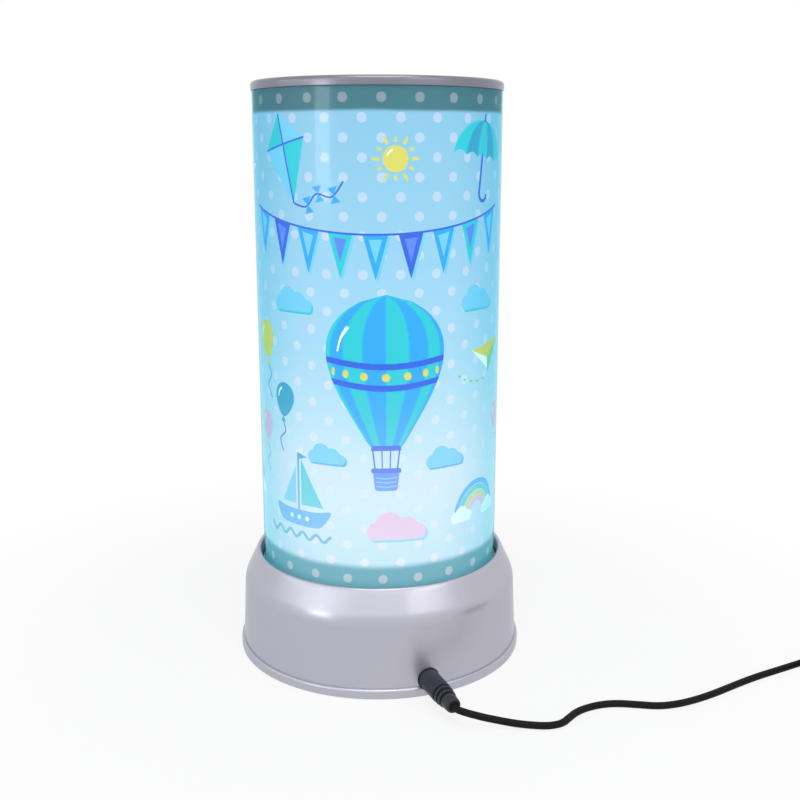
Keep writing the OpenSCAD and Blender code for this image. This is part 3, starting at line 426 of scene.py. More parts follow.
tubeLow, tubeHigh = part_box("clear_tube")
shellLow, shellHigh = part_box("base_shell")
base = {
    "lipRadius": shellHigh.x,
    "rim": shellHigh.z,
    "lipStep": 0.0012,
    "lipTop": 0.0044,
    "lipRound": 0.0011,
    "lipFootRound": 0.0004,
    "lipGap": 0.0002,
    "well": tubeHigh.x + 0.0013,
    "shoulderWidth": 0.0079,
    "shoulderRound": 0.0153,
    "shoulderSlope": 25.6,
    "rimRound": 0.0011,
    "wall": 0.0022,
    "wellWall": 0.0018,
    "wellDepth": 0.0129,
    "deck": 0.002,
    "deckHole": 0.0062,
    "pinionHole": 0.0074,
    "pinionAt": (-0.031177, 0.018),
    "segments": 240,
}


# the switch's place in the base: its bezel sits in a shallow seat, its body passes through
switchCut = {
    "bezel": 0.0012,
    "room": 0.0004,
    "border": 0.0014,
    "cutDeep": 0.02,
    "reach": 0.006,
}


# the way up a straight slope, in even steps
def slopeUp(start, end, steps):
    return [(start[0] + (end[0] - start[0]) * k / steps, start[1] + (end[1] - start[1]) * k / steps)
            for k in range(1, steps)]


def makeBase():
    b = base
    footSide, slope = b["lipRadius"] - b["lipStep"], math.radians(b["shoulderSlope"])
    shoulder, inner = b["well"] + b["shoulderWidth"], footSide - b["wall"]
    deckTop = b["rim"] - b["wellDepth"]
    deckBottom = deckTop - b["deck"]
    slopeFootRadius = shoulder - b["shoulderRound"] * (1 - math.cos(slope))
    rimCentre = (b["well"] + b["rimRound"], b["rim"] - b["rimRound"])
    slopeTop = (rimCentre[0] + b["rimRound"] * math.cos(slope),
                rimCentre[1] + b["rimRound"] * math.sin(slope))
    slopeFoot = (slopeFootRadius, slopeTop[1] - (slopeFootRadius - slopeTop[0]) / math.tan(slope))
    shoulderHeight = slopeFoot[1] - b["shoulderRound"] * math.sin(slope)
    bend = (shoulder - b["shoulderRound"], shoulderHeight)
    lipFoot = (b["lipRadius"] - b["lipFootRound"], b["lipGap"] + b["lipFootRound"])
    outline = [(inner, b["lipGap"])] + arc(lipFoot, b["lipFootRound"], -90, 0, 4)
    outline += arc((b["lipRadius"] - b["lipRound"], b["lipTop"] - b["lipRound"]), b["lipRound"], 0, 90, 8)
    outline += [(footSide, b["lipTop"])] + slopeUp((footSide, b["lipTop"]), (shoulder, shoulderHeight), 12)
    outline += arc(bend, b["shoulderRound"], 0, b["shoulderSlope"], 14) + slopeUp(slopeFoot, slopeTop, 6)
    outline += arc(rimCentre, b["rimRound"], b["shoulderSlope"], 180, 10)
    outline += arc((b["well"] - 0.0008, deckTop + 0.0008), 0.0008, 360, 270, 4)
    wellOutside = b["well"] + b["wellWall"]
    outline += [(b["deckHole"], deckTop), (b["deckHole"], deckBottom), (wellOutside, deckBottom)]
    insideFoot = (slopeFoot[0] - b["wall"] * math.cos(slope), slopeFoot[1] - b["wall"] * math.sin(slope))
    outline += [(wellOutside, insideFoot[1] + (insideFoot[0] - wellOutside) / math.tan(slope))]
    outline += arc(bend, b["shoulderRound"] - b["wall"], b["shoulderSlope"], 0, 6) + [(inner, b["lipTop"])]
    lathe(outline, b["segments"])
    shell = asPiece("base_housing", "base", "silver_paint", "base_shell")

    holeMiddle = plug["seat"] + plug["holeDepth"] / 2 - 0.0002
    bpy.ops.mesh.primitive_cylinder_add(
        vertices=48, radius=plug["radius"] + plug["holeRoom"], depth=plug["holeDepth"],
        location=plugTurn @ Vector((holeMiddle, plug["aside"], plug["height"])),
        rotation=(0, math.radians(90), math.radians(plug["angle"])))
    cutWith(shell, bpy.context.object)
    switchLow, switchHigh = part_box("switch_body")
    s = switchCut
    frameAcross, frameUp = switchHigh.x - switchLow.x, switchHigh.z - switchLow.z
    frameBack = switchHigh.y - s["bezel"]
    cutters = [((frameAcross + s["room"], s["cutDeep"], frameUp + s["room"]), frameBack + s["cutDeep"] / 2),
               ((frameAcross - s["border"], s["cutDeep"], frameUp - s["border"]), frameBack - s["reach"])]
    middleUp = (switchLow.z + switchHigh.z) / 2
    for size, middle in cutters:
        bpy.ops.mesh.primitive_cube_add(size=1, location=(0, middle, middleUp), scale=size)
        cutWith(shell, bpy.context.object)
    bpy.ops.mesh.primitive_cylinder_add(vertices=64, radius=b["pinionHole"], depth=4 * b["deck"],
                                        location=(*b["pinionAt"], deckTop - b["deck"] / 2))
    cutWith(shell, bpy.context.object)
    shell.data.materials.append(silverPaint("silverBase", silver["paint"], silver["warm"], silver["coat"]))
    smoothBy(shell, 35)
    return shell


makeBase()
print("base ready")


drum = {
    "outer": tubeHigh.x,
    "wall": 0.0005,
    "filmGap": 0.00005,
    "filmThick": 0.0003,
    "bottom": tubeLow.z,
    "top": tubeHigh.z,
    "facets": 256,
    "litTop": 0.2402,
    "litTopSoft": 0.0009,
    "litBottom": 0.0546,
    "litBottomSoft": 0.0017,
    "dotsAround": 22,
    "dotRow": 0.007537,
    "dotTopRow": 0.2451,
    "dotTurn": 2.7,
    "dotRadius": 0.00195,
    "clearTint": (0.98, 0.99, 1),
    "clearRough": 0.12,
    "edgeTint": (0.50, 0.81, 0.86),
    "edgeReach": (0.15, 0.75),
    "edgeMirror": 0.5,
    "faceMirror": 0.02,
    # paper and paperDot: the print's own colour, darkened with painted shade for the dark inside that shows
    # through the clear film
    "paper": (0.04, 0.205, 0.255),
    "paperDot": (0.31, 0.385, 0.43),
    "footGlow": (0.127, 0.276, 0.319),
    "footDotGlow": (0.263, 0.291, 0.31),
}
drum["filmRadius"] = drum["outer"] - drum["wall"] - drum["filmGap"]
# what the lit print shows: height as a share of the tube, colour
paperGlow = [(0.06, (0.55, 0.67, 0.76)), (0.11, (0.60, 0.69, 0.78)), (0.19, (0.65, 0.71, 0.79)),
             (0.27, (0.63, 0.685, 0.78)), (0.35, (0.50, 0.645, 0.75)), (0.5, (0.36, 0.56, 0.72)),
             (0.68, (0.29, 0.50, 0.69)), (0.9, (0.235, 0.44, 0.62)), (1.0, (0.22, 0.42, 0.60))]
dotGlow = [(0.06, (0.56, 0.58, 0.62)), (0.3, (0.48, 0.56, 0.62)), (0.6, (0.34, 0.44, 0.60)),
           (1.0, (0.26, 0.36, 0.57))]


def ramp(flow, share, stops):
    opaque = [(at, colour + (1,)) for at, colour in stops]
    return flow.node("ShaderNodeValToRGB", {"stops": opaque}, {0: share})


# where the light inside reaches the print: not in front of the collar and the cap's skirt
def litShare(place):
    wobble = (place.noise(35, 1) - 0.5) * 0.0012
    height = place.part("Z") + wobble
    low, lowSoft = drum["litBottom"], drum["litBottomSoft"]
    high, highSoft = drum["litTop"], drum["litTopSoft"]
    return height.step(low - lowSoft, low + lowSoft) * height.step(high + highSoft, high - highSoft)


# some light also leaks out through the collar, below the lit part
def footShare(place):
    return place.part("Z").step(0.10, 0.06)


def filmPrint():
    material, flow = newMaterial("dottedFilm")
    place = objectPlace(flow)
    height = place.part("Z")
    around = flow.maths("ARCTAN2", place.part("X"), 0 - place.part("Y")) * (180 / math.pi) - drum["dotTurn"]
    column = around * (drum["dotsAround"] / 360)
    row = (drum["dotTopRow"] - height) / drum["dotRow"]
    pitch = 2 * math.pi * drum["filmRadius"] / drum["dotsAround"]

    def nearest(shiftColumn, shiftRow):
        across = flow.maths("PINGPONG", column + shiftColumn, 0.5) * pitch
        down = flow.maths("PINGPONG", row + shiftRow, 1) * drum["dotRow"]
        return (across * across + down * down).power(0.5)

    gap = flow.maths("MINIMUM", nearest(0, 0), nearest(0.5, 1))
    dot = gap.step(drum["dotRadius"] + 0.00018, drum["dotRadius"] - 0.00018)
    share = (height - drum["bottom"]) / (drum["top"] - drum["bottom"])
    lit = litShare(place)
    # painted light: the glow through the print is a little uneven
    unevenGlow = place.noise(22, 2) * 0.1 + 0.95
    leak = dot.mixColour(drum["footGlow"] + (1,), drum["footDotGlow"] + (1,))
    unlit = footShare(place).mixColour((0, 0, 0, 1), leak)
    bright = dot.mixColour(ramp(flow, share, paperGlow), ramp(flow, share, dotGlow))
    glow = (lit * unevenGlow).mixColour(unlit, bright)
    # the print's colour, darkened with painted shade for the unlit inside behind the film
    paper = dot.mixColour(drum["paper"] + (1,), drum["paperDot"] + (1,))
    grain = place.noise(1500, 2)
    putOut(flow, driven(flow, {"Emission Strength": 1.0}, Base_Color=paper, Emission_Color=glow,
                        Roughness=grain * 0.1 + 0.4, Normal=bumped(flow, grain, 0.004 * mm)))
    return material


def clearPlastic():
    material, flow = newMaterial("clearPlastic")
    place = objectPlace(flow)
    through = flow.node("ShaderNodeBsdfTransparent", None, {"Color": drum["clearTint"] + (1,)})
    wave = bumped(flow, place.noise(30, 2), 0.03 * mm)
    gloss = flow.node("ShaderNodeBsdfGlossy", None,
                      {"Color": (1, 1, 1, 1), "Roughness": drum["clearRough"], "Normal": wave})
    edge = flow.node("ShaderNodeLayerWeight", None, {"Normal": wave}, out=1)
    deep = flow.node("ShaderNodeBsdfTransparent", None, {"Color": drum["edgeTint"] + (1,)})
    wall = flow.node("ShaderNodeMixShader", None, {0: edge.step(*drum["edgeReach"]), 1: through, 2: deep})
    mirror = edge.power(9) * drum["edgeMirror"] + drum["faceMirror"]
    putOut(flow, flow.node("ShaderNodeMixShader", None, {0: mirror, 1: wall, 2: gloss}))
    return material


# seen from inside the wall there is no mirror image, so the inner face only lets light through
def clearInnerFace():
    material, flow = newMaterial("clearInnerFace")
    haze = flow.node("ShaderNodeBsdfDiffuse", None, {"Color": drum["clearTint"] + (1,)})
    through = flow.node("ShaderNodeBsdfTransparent", None, {"Color": (1, 1, 1, 1)})
    dust = objectPlace(flow).noise(260, 3).step(0.62, 0.8) * 0.02 + 0.004
    putOut(flow, flow.node("ShaderNodeMixShader", None, {0: dust, 1: through, 2: haze}))
    return material


def makeDrum():
    d = drum
    low, high, outer = d["bottom"], d["top"], d["outer"]
    inner, edge = outer - d["wall"], 0.0003
    outside = [(inner + edge, low), (outer - edge, low), (outer, low + edge), (outer, high - edge)]
    inside = [(outer - edge, high), (inner + edge, high), (inner, high - edge), (inner, low + edge)]
    lathe(outside + inside, d["facets"])
    tube = asPiece("clear_drum_tube", "drum", "clear_plastic", "clear_tube")
    tube.data.materials.append(clearPlastic())
    tube.data.materials.append(clearInnerFace())
    for face in tube.data.polygons:
        face.material_index = int(face.center.xy.length < inner + edge / 2)
    smoothBy(tube, 30)
    film, filmInside = d["filmRadius"], d["filmRadius"] - d["filmThick"]
    lathe([(film, low), (film, high), (filmInside, high), (filmInside, low)], d["facets"])
    sheet = asPiece("printed_sheet", "drum", "printed_film", "print_film")
    sheet.data.materials.append(filmPrint())
    smoothBy(sheet, 30)


makeDrum()
print("drum ready")


# name: colour where the print is lit, and in the bands that the light does not reach
inks = {
    "skyInk": ((0.0, 0.40, 0.92), (0.004, 0.12, 0.30)),
    "paleInk": ((0.16, 0.62, 0.92), (0.05, 0.20, 0.28)),
    "aquaInk": ((0.0, 0.58, 0.68), (0.0, 0.20, 0.23)),
    "seaInk": ((0.0, 0.36, 0.60), (0.0, 0.12, 0.19)),
    "royalInk": ((0.01, 0.12, 0.80), (0.004, 0.03, 0.20)),
    "lilacInk": ((0.10, 0.25, 0.92), (0.02, 0.06, 0.24)),
    "yellowInk": ((0.66, 0.62, 0.09), (0.30, 0.28, 0.06)),
    "greenInk": ((0.16, 0.60, 0.22), (0.07, 0.24, 0.10)),
    "pinkInk": ((0.84, 0.44, 0.66), (0.34, 0.20, 0.28)),
    "whiteInk": ((0.78, 0.93, 1.0), (0.42, 0.46, 0.50)),
}
printing = {
    "firstLayer": 0.00002,
    "layer": 0.00002,
    # lower on the tube each ink's glow turns paler towards this colour: a painted wash of the stronger light
    # near the bottom
    "washed": (0.62, 0.86, 0.97),
    "wash": 0.6,
    "glow": 0.8,
}


def ellipse(u, v, across, up, turn=0, start=0, end=360, steps=36):
    points = []
    for k in range(steps + (1 if end - start < 360 else 0)):
        t = math.radians(start + (end - start) * k / steps)
        x, y = across * math.cos(t), up * math.sin(t)
        c, s = math.cos(math.radians(turn)), math.sin(math.radians(turn))
        points.append((u + c * x - s * y, v + s * x + c * y))
    return points


# a smooth closed or open line through given points
def smoothLine(knots, closed=True, steps=6):
    count, points = len(knots), []
    for k in range(count if closed else count - 1):
        near = [k + j if closed else min(max(k + j, 0), count - 1) for j in (-1, 0, 1, 2)]
        a, b, c, d = [knots[j % count] for j in near]
        for j in range(steps):
            t = j / steps
            points.append(tuple(
                0.5 * (2 * b[i] + (c[i] - a[i]) * t + (2 * a[i] - 5 * b[i] + 4 * c[i] - d[i]) * t * t
                       + (3 * b[i] - a[i] - 3 * c[i] + d[i]) * t ** 3) for i in (0, 1)))
    return points if closed else points + [knots[-1]]


def roundedCorners(corners, radius, steps=4):
    points, count = [], len(corners)
    for k in range(count):
        a, b, c = Vector(corners[k - 1]), Vector(corners[k]), Vector(corners[(k + 1) % count])
        start, end = b + (a - b).normalized() * radius, b + (c - b).normalized() * radius
        for j in range(steps + 1):
            t = j / steps
            points.append(tuple(start * (1 - t) ** 2 + b * 2 * t * (1 - t) + end * t * t))
    return points


# a stroke of even or tapering width along a line
def stroke(line, width, endWidth=None):
    endWidth = width if endWidth is None else endWidth
    left, right, last = [], [], len(line) - 1
    for k, here in enumerate(line):
        before, after = line[max(k - 1, 0)], line[min(k + 1, last)]
        along = (Vector(after) - Vector(before)).normalized()
        half = (width + (endWidth - width) * k / last) / 2
        left.append((here[0] - along.y * half, here[1] + along.x * half))
        right.append((here[0] + along.y * half, here[1] - along.x * half))
    return left + right[::-1]


class Sheet:
    # the unrolled print: shapes in millimetres, by ink and by how many inks lie under them
    def __init__(self):
        self.shapes = {}

    def at(self, u, v, size=1, turn=0):
        self.u, self.v, self.size, self.turn = u, v, size, math.radians(turn)

    def put(self, ink, layer, *outlines):
        c, s = math.cos(self.turn) * self.size, math.sin(self.turn) * self.size
        placed = [[(self.u + c * x - s * y, self.v + s * x + c * y) for x, y in outline]
                  for outline in outlines]
        self.shapes.setdefault((layer, ink), []).extend(placed)


# a cloud's outline: the highest of its puffs at each place, round ends and a flat underside
def cloudOutline(puffs, floor):
    left, right = min(x - r for x, y, r in puffs), max(x + r for x, y, r in puffs)
    first, last = puffs[0], puffs[-1]
    under = [math.degrees(math.asin(min(1, (y - floor) / r))) for x, y, r in (first, last)]
    top = []
    for k in range(1, 48):
        x = (left + right) / 2 + (right - left) / 2 * math.cos(math.pi * k / 48)
        top.append((x, max(y + math.sqrt(max(r * r - (x - cx) ** 2, 0))
                           for cx, y, r in puffs if abs(x - cx) <= r + 0.001)))
    rightEnd = ellipse(last[0], last[1], last[2], last[2], start=-under[1], end=0, steps=5)
    leftEnd = ellipse(first[0], first[1], first[2], first[2], start=180, end=180 + under[0], steps=5)
    return rightEnd + top + leftEnd


def drawCloud(sheet, ink, shade):
    puffs = [(-7, 0, 3.6), (-2.4, 2.4, 5.2), (3.8, 1.2, 4.4), (8.4, -0.4, 3.0)]
    outline = cloudOutline(puffs, -3)
    sheet.put(shade, 0, [(x + 0.8, y - 0.9) for x, y in outline])
    sheet.put(ink, 1, outline)


def drawBalloon(sheet, inkA, inkB, trim, basket):
    # hot-air balloon: a gored envelope, ropes and a wicker basket
    def halfWidth(t):
        return 23 * math.sin(math.pi * min(t, 1) ** 0.72) ** 0.82 * (1 - 0.10 * t) + 5.2 * t ** 6
    top, bottom, gores, steps = 34, -22, 8, 22
    levels = [k / steps for k in range(steps + 1)]
    for g in range(gores):
        edges = [math.sin(math.pi * (g + j - gores / 2) / gores) for j in (0, 1)]
        left = [(halfWidth(t) * edges[0], top + (bottom - top) * t) for t in levels[1:]]
        right = [(halfWidth(t) * edges[1], top + (bottom - top) * t) for t in levels[1:]]
        sheet.put((inkA, inkB)[g % 2], 1, [(0, top)] + left + right[::-1])
    sag = -2.4
    for upper, lower in ((0.40, 0.44), (0.54, 0.58)):
        band = []
        for t, order in ((upper, range(17)), (lower, range(16, -1, -1))):
            half, level = halfWidth(t), top + (bottom - top) * t
            band += [(half * (k / 8 - 1), level + sag * math.sin(math.pi * k / 16)) for k in order]
        sheet.put(trim, 2, band)
    for k in range(7):
        t = 0.49
        x = halfWidth(t) * math.sin(math.pi * (k - 3) / 8.2)
        y = top + (bottom - top) * t + sag * math.cos(math.pi * x / 2 / halfWidth(t))
        sheet.put("yellowInk", 2, ellipse(x, y, 1.5 * math.cos(math.pi * (k - 3) / 8.2), 1.5, steps=20))
    sheet.put(trim, 2, roundedCorners([(-5.6, -22.8), (5.6, -22.8), (5.2, -20.9), (-5.2, -20.9)], 0.5))
    for side in (-1, 1):
        sheet.put(trim, 1, stroke([(side * 4.9, -22.6), (side * 4.0, -30.4)], 0.55))
        sheet.put(trim, 1, stroke([(side * 1.6, -22.6), (side * 1.4, -30.4)], 0.45))
    sheet.put(basket, 1, roundedCorners([(-4.9, -30.2), (4.9, -30.2), (4.1, -38.0), (-4.1, -38.0)], 1.2))
    sheet.put(trim, 2, roundedCorners([(-5.5, -29.4), (5.5, -29.4), (5.5, -31.2), (-5.5, -31.2)], 0.7))
    for k in range(3):
        y = -32.9 - 1.6 * k
        sheet.put("paleInk", 2, stroke([(-3.9 + 0.1 * k, y), (0, y - 0.5), (3.9 - 0.1 * k, y)], 0.45))
    shine = smoothLine([(-13.6, 22.5), (-16.2, 18.5), (-17.6, 13.5)], False)
    sheet.put("whiteInk", 2, stroke(shine, 1.3, 0.5))


def drawKite(sheet, inkA, inkB, tail, bows):
    top, bottom, left, right = (0, 15), (0, -19), (-11, 3.5), (11, 3.5)
    sheet.put(inkA, 1, [top, left, (0, 3.5)], [bottom, (0, 3.5), right])
    sheet.put(inkB, 1, [top, (0, 3.5), right], [bottom, left, (0, 3.5)])
    sheet.put(tail, 2, stroke([top, (0, 3.5), bottom], 0.7))
    sheet.put(tail, 2, stroke([left, (-0.36, 3.5)], 0.7), stroke([(0.36, 3.5), right], 0.7))
    line = smoothLine([(0, -19), (5.5, -21.5), (11, -18), (17, -20.5), (23, -16)], False)
    sheet.put(tail, 1, stroke(line, 0.7))
    for k in (7, 13, 19):
        x, y = line[k]
        for up in (3, -3):
            sheet.put(bows, 2, [(x, y), (x - 2, y + up), (x + 2, y + up)])


def drawBoat(sheet, hull, sailA, sailB, mast):
    below = [(-13, -3), (-10.5, -8.3), (-6, -9.6), (6.5, -9.6), (11, -8.2), (14.5, -2.6)]
    sheet.put(hull, 1, smoothLine(below + [(8, -3.3), (-6, -3.4)]))
    sheet.put(mast, 2, stroke([(0, -3.6), (0, 19)], 0.9))
    sheet.put(sailA, 1, roundedCorners([(1.3, -1.2), (11.5, -1.2), (1.3, 17)], 0.7))
    sheet.put(sailB, 1, roundedCorners([(-1.3, -1.2), (-1.3, 13.5), (-9, -1.2)], 0.7))
    sheet.put(mast, 2, [(0.4, 19), (0.4, 16.6), (4.6, 17.8)])
    for k in range(3):
        sheet.put("whiteInk", 2, ellipse(-4 + 4 * k, -6.4, 0.9, 0.9, steps=18))


def drawWaves(sheet, ink, count, length):
    line = []
    for k in range(count * 10 + 1):
        t = k / 10
        line.append((length * (t - count / 2), 1.3 * math.cos(2 * math.pi * t)))
    sheet.put(ink, 1, stroke(line, 1.3, 1.3))


def drawUmbrella(sheet, inkA, inkB, trim):
    ribs = 5
    edges = [-15 + 30 * k / ribs for k in range(ribs + 1)]
    for k in range(ribs):
        a, b = edges[k], edges[k + 1]
        start = [(a * math.sin(j * math.pi / 12), 13 * math.cos(j * math.pi / 12)) for j in range(1, 7)]
        finish = [(b * math.sin(j * math.pi / 12), 13 * math.cos(j * math.pi / 12)) for j in range(1, 7)]
        scallop = [(a + (b - a) * j / 6, 1.5 * math.sin(math.pi * j / 6)) for j in range(1, 6)]
        sheet.put((inkA, inkB)[k % 2], 1, [(0, 13)] + start + scallop + finish[::-1])
    handle = [(0, 1.5), (0, -12)] + ellipse(2.4, -12, 2.4, 2.6, start=180, end=360, steps=10)
    sheet.put(trim, 0, stroke(handle, 1.1))
    sheet.put(trim, 2, stroke([(0, 12.4), (0, 15.4)], 1.2, 0.7))


def drawSun(sheet, ink, shine):
    sheet.put(ink, 1, ellipse(0, 0, 6, 6))
    for k in range(12):
        a = math.radians(30 * k)
        c, s = math.cos(a), math.sin(a)
        longer = 11.2 if k % 2 == 0 else 9.8
        sheet.put(ink, 1, stroke([(7.6 * c, 7.6 * s), (longer * c, longer * s)], 1.7, 0.9))
    sheet.put(shine, 2, stroke(ellipse(0, 0, 4.2, 4.2, start=110, end=165, steps=8), 0.9, 0.4))


def drawPlane(sheet, ink, fold, shade):
    # folded paper dart with a dashed trail
    sheet.put(ink, 1, [(-12, 5.5), (13, 1.5), (-1.5, -2.6)])
    sheet.put(shade, 1, [(-1.5, -2.6), (13, 1.5), (-3.6, -9.2)])
    sheet.put(fold, 1, [(-12, 5.5), (-1.5, -2.6), (-3.0, -7.3), (-7.0, -1.6)])
    for k in range(5):
        t = math.radians(200 + 13 * k)
        dash = [(-2 + 22 * math.cos(t + j * 0.05), 4 + 14 * math.sin(t + j * 0.05)) for j in (0, 1, 2)]
        sheet.put(shade, 1, stroke(dash, 0.8))


def drawRainbow(sheet, colours):
    for k, ink in enumerate(colours):
        radius = 12 - 2.3 * k
        sheet.put(ink, 1, stroke(ellipse(0, 0, radius, radius, start=0, end=180, steps=24), 2.0))
    for side in (-1, 1):
        puffs = [(side * 9 - 3, 0, 2.4), (side * 9, 1, 3.2), (side * 9 + 3.4, 0, 2.2)]
        sheet.put("whiteInk", 2, cloudOutline(puffs, -2))


def drawBubble(sheet, ink, string):
    # a small toy balloon on a string
    left = [(0, 7), (-3.9, 5.3), (-5.1, 1.4), (-3.2, -3.0), (0, -5.4)]
    sheet.put(ink, 1, smoothLine(left + [(3.2, -3.0), (5.1, 1.4), (3.9, 5.3)]))
    sheet.put(ink, 1, [(0, -5.2), (-1.4, -7.2), (1.4, -7.2)])
    trail = smoothLine([(0, -7.2), (1.5, -10.5), (-1.3, -14), (0.8, -18)], False)
    sheet.put(string, 1, stroke(trail, 0.55))
    sheet.put("whiteInk", 2, stroke(smoothLine([(-1.8, 4.8), (-3.1, 3.2), (-3.4, 1.2)], False), 0.9, 0.4))


def drawPennants(sheet, start, end, high, sag, count, colours):
    # a string of pennants hanging in a shallow curve, each with a soft shadow
    def spot(t):
        return start + (end - start) * t, high - sag * 4 * t * (1 - t)
    sheet.put("royalInk", 3, stroke([spot(k / 40) for k in range(41)], 0.8))
    for k in range(count):
        a, b = spot((k + 0.14) / count), spot((k + 0.86) / count)
        middle = ((a[0] + b[0]) / 2, (a[1] + b[1]) / 2 - 18)
        flag = roundedCorners([a, middle, b], 0.6)
        sheet.put("paleInk", 0, [(x + 0.9, y - 1.1) for x, y in flag])
        sheet.put(colours[k % len(colours)], 1, flag)
        left, right = a[0] * 0.76 + b[0] * 0.24, a[0] * 0.24 + b[0] * 0.76
        inner = [(left, a[1] - 2), (middle[0], middle[1] + 6.5), (right, b[1] - 2)]
        sheet.put("lilacInk" if k % 2 else "paleInk", 2, inner)


def drawPrint():
    sheet = Sheet()
    scenes = [
        (drawBalloon, (4, 131, 1.13), ("aquaInk", "skyInk", "royalInk", "lilacInk")),
        (drawBalloon, (178, 146, 0.85), ("skyInk", "whiteInk", "lilacInk", "aquaInk")),
        (drawKite, (-40, 224, 1.05, 14), ("aquaInk", "paleInk", "royalInk", "skyInk")),
        (drawKite, (112, 222, 1.0, -16), ("skyInk", "lilacInk", "royalInk", "yellowInk")),
        (drawUmbrella, (50, 222, 1.15, -8), ("aquaInk", "seaInk", "royalInk")),
        (drawUmbrella, (212, 92, 1.1, 10), ("lilacInk", "skyInk", "seaInk")),
        (drawSun, (8, 222, 0.85), ("yellowInk", "whiteInk")),
        (drawSun, (150, 222, 0.85), ("yellowInk", "whiteInk")),
        (drawPlane, (58, 142, 1.0, 18), ("yellowInk", "whiteInk", "greenInk")),
        (drawPlane, (250, 216, 1.1, 8), ("whiteInk", "paleInk", "skyInk")),
        (drawBubble, (-58, 146, 1.35, 8), ("yellowInk", "seaInk")),
        (drawBubble, (-44, 122, 1.2, -6), ("seaInk", "royalInk")),
        (drawBubble, (-60, 108, 1.1, 4), ("pinkInk", "seaInk")),
        (drawBubble, (70, 110, 1.1, 6), ("pinkInk", "seaInk")),
        (drawBubble, (132, 120, 1.2, -8), ("greenInk", "royalInk")),
        (drawBubble, (238, 140, 1.3, 5), ("pinkInk", "royalInk")),
        (drawBoat, (-36, 80, 1.12), ("skyInk", "aquaInk", "paleInk", "seaInk")),
        (drawBoat, (108, 80, 1.12), ("lilacInk", "whiteInk", "skyInk", "royalInk")),
        (drawRainbow, (50, 72, 1.15), (("skyInk", "aquaInk", "yellowInk", "pinkInk"),)),
        (drawRainbow, (250, 78, 1.1), (("lilacInk", "skyInk", "yellowInk", "pinkInk"),)),
        (drawCloud, (-38, 164, 0.95), ("paleInk", "aquaInk")),
        (drawCloud, (48, 164, 0.95), ("paleInk", "aquaInk")),
        (drawCloud, (8, 70, 1.15), ("pinkInk", "paleInk")),
        (drawCloud, (-22, 101, 0.8), ("paleInk", "skyInk")),
        (drawCloud, (30, 99, 0.85), ("paleInk", "skyInk")),
        (drawCloud, (90, 152, 0.9), ("paleInk", "aquaInk")),
        (drawCloud, (140, 166, 1.0), ("paleInk", "aquaInk")),
        (drawCloud, (214, 166, 1.0), ("paleInk", "aquaInk")),
        (drawCloud, (176, 76, 1.15), ("pinkInk", "paleInk")),
        (drawCloud, (218, 124, 0.9), ("paleInk", "skyInk")),
    ]
    for draw, spot, colours in scenes:
        sheet.at(*spot)
        draw(sheet, *colours)
    for u in (-38, 108):
        sheet.at(u, 65, 1.05)
        drawWaves(sheet, "seaInk", 5, 7)
    sheet.at(0, 0)
    drawPennants(sheet, -64, 64, 203, 10, 9, ("skyInk", "royalInk", "skyInk", "aquaInk"))
    drawPennants(sheet, 150, 240, 203, 9, 7, ("skyInk", "aquaInk", "lilacInk", "yellowInk"))
    return sheet.shapes


def inkMaterial(name, lit, unlit):
    material, flow = newMaterial(name)
    place = objectPlace(flow)
    share = (place.part("Z") - drum["bottom"]) / (drum["top"] - drum["bottom"])
    # painted light: towards the bottom each ink's glow turns paler, as the light inside is stronger there
    washed = tuple(a + (b - a) * printing["wash"] for a, b in zip(lit, printing["washed"]))
    colour = share.step(0.0, 0.5).mixColour(washed + (1,), lit + (1,))
    grain = place.noise(1500, 2)
    glow = (litShare(place) * (place.noise(22, 2) * 0.1 + 0.95)).mixColour((0, 0, 0, 1), colour)
    shade = grain.mixColour(tinted(unlit, 0.92), tinted(unlit, 1.08))
    putOut(flow, driven(flow, {"Emission Strength": printing["glow"]}, Base_Color=shade,
                        Emission_Color=glow, Roughness=grain * 0.1 + 0.4,
                        Normal=bumped(flow, grain, 0.004 * mm)))
    return material


# each vertex is rolled onto the facets that the film itself has
def rollUp(mesh):
    facet = 2 * math.pi / drum["facets"]
    for vertex in mesh.vertices:
        angle = vertex.co.x * mm / drum["filmRadius"]
        within = angle - (math.floor(angle / facet + 0.0001) + 0.5) * facet
        radius = (drum["filmRadius"] + vertex.co.z) * math.cos(facet / 2) / math.cos(within)
        vertex.co = (radius * math.sin(angle), -radius * math.cos(angle), vertex.co.y * mm)


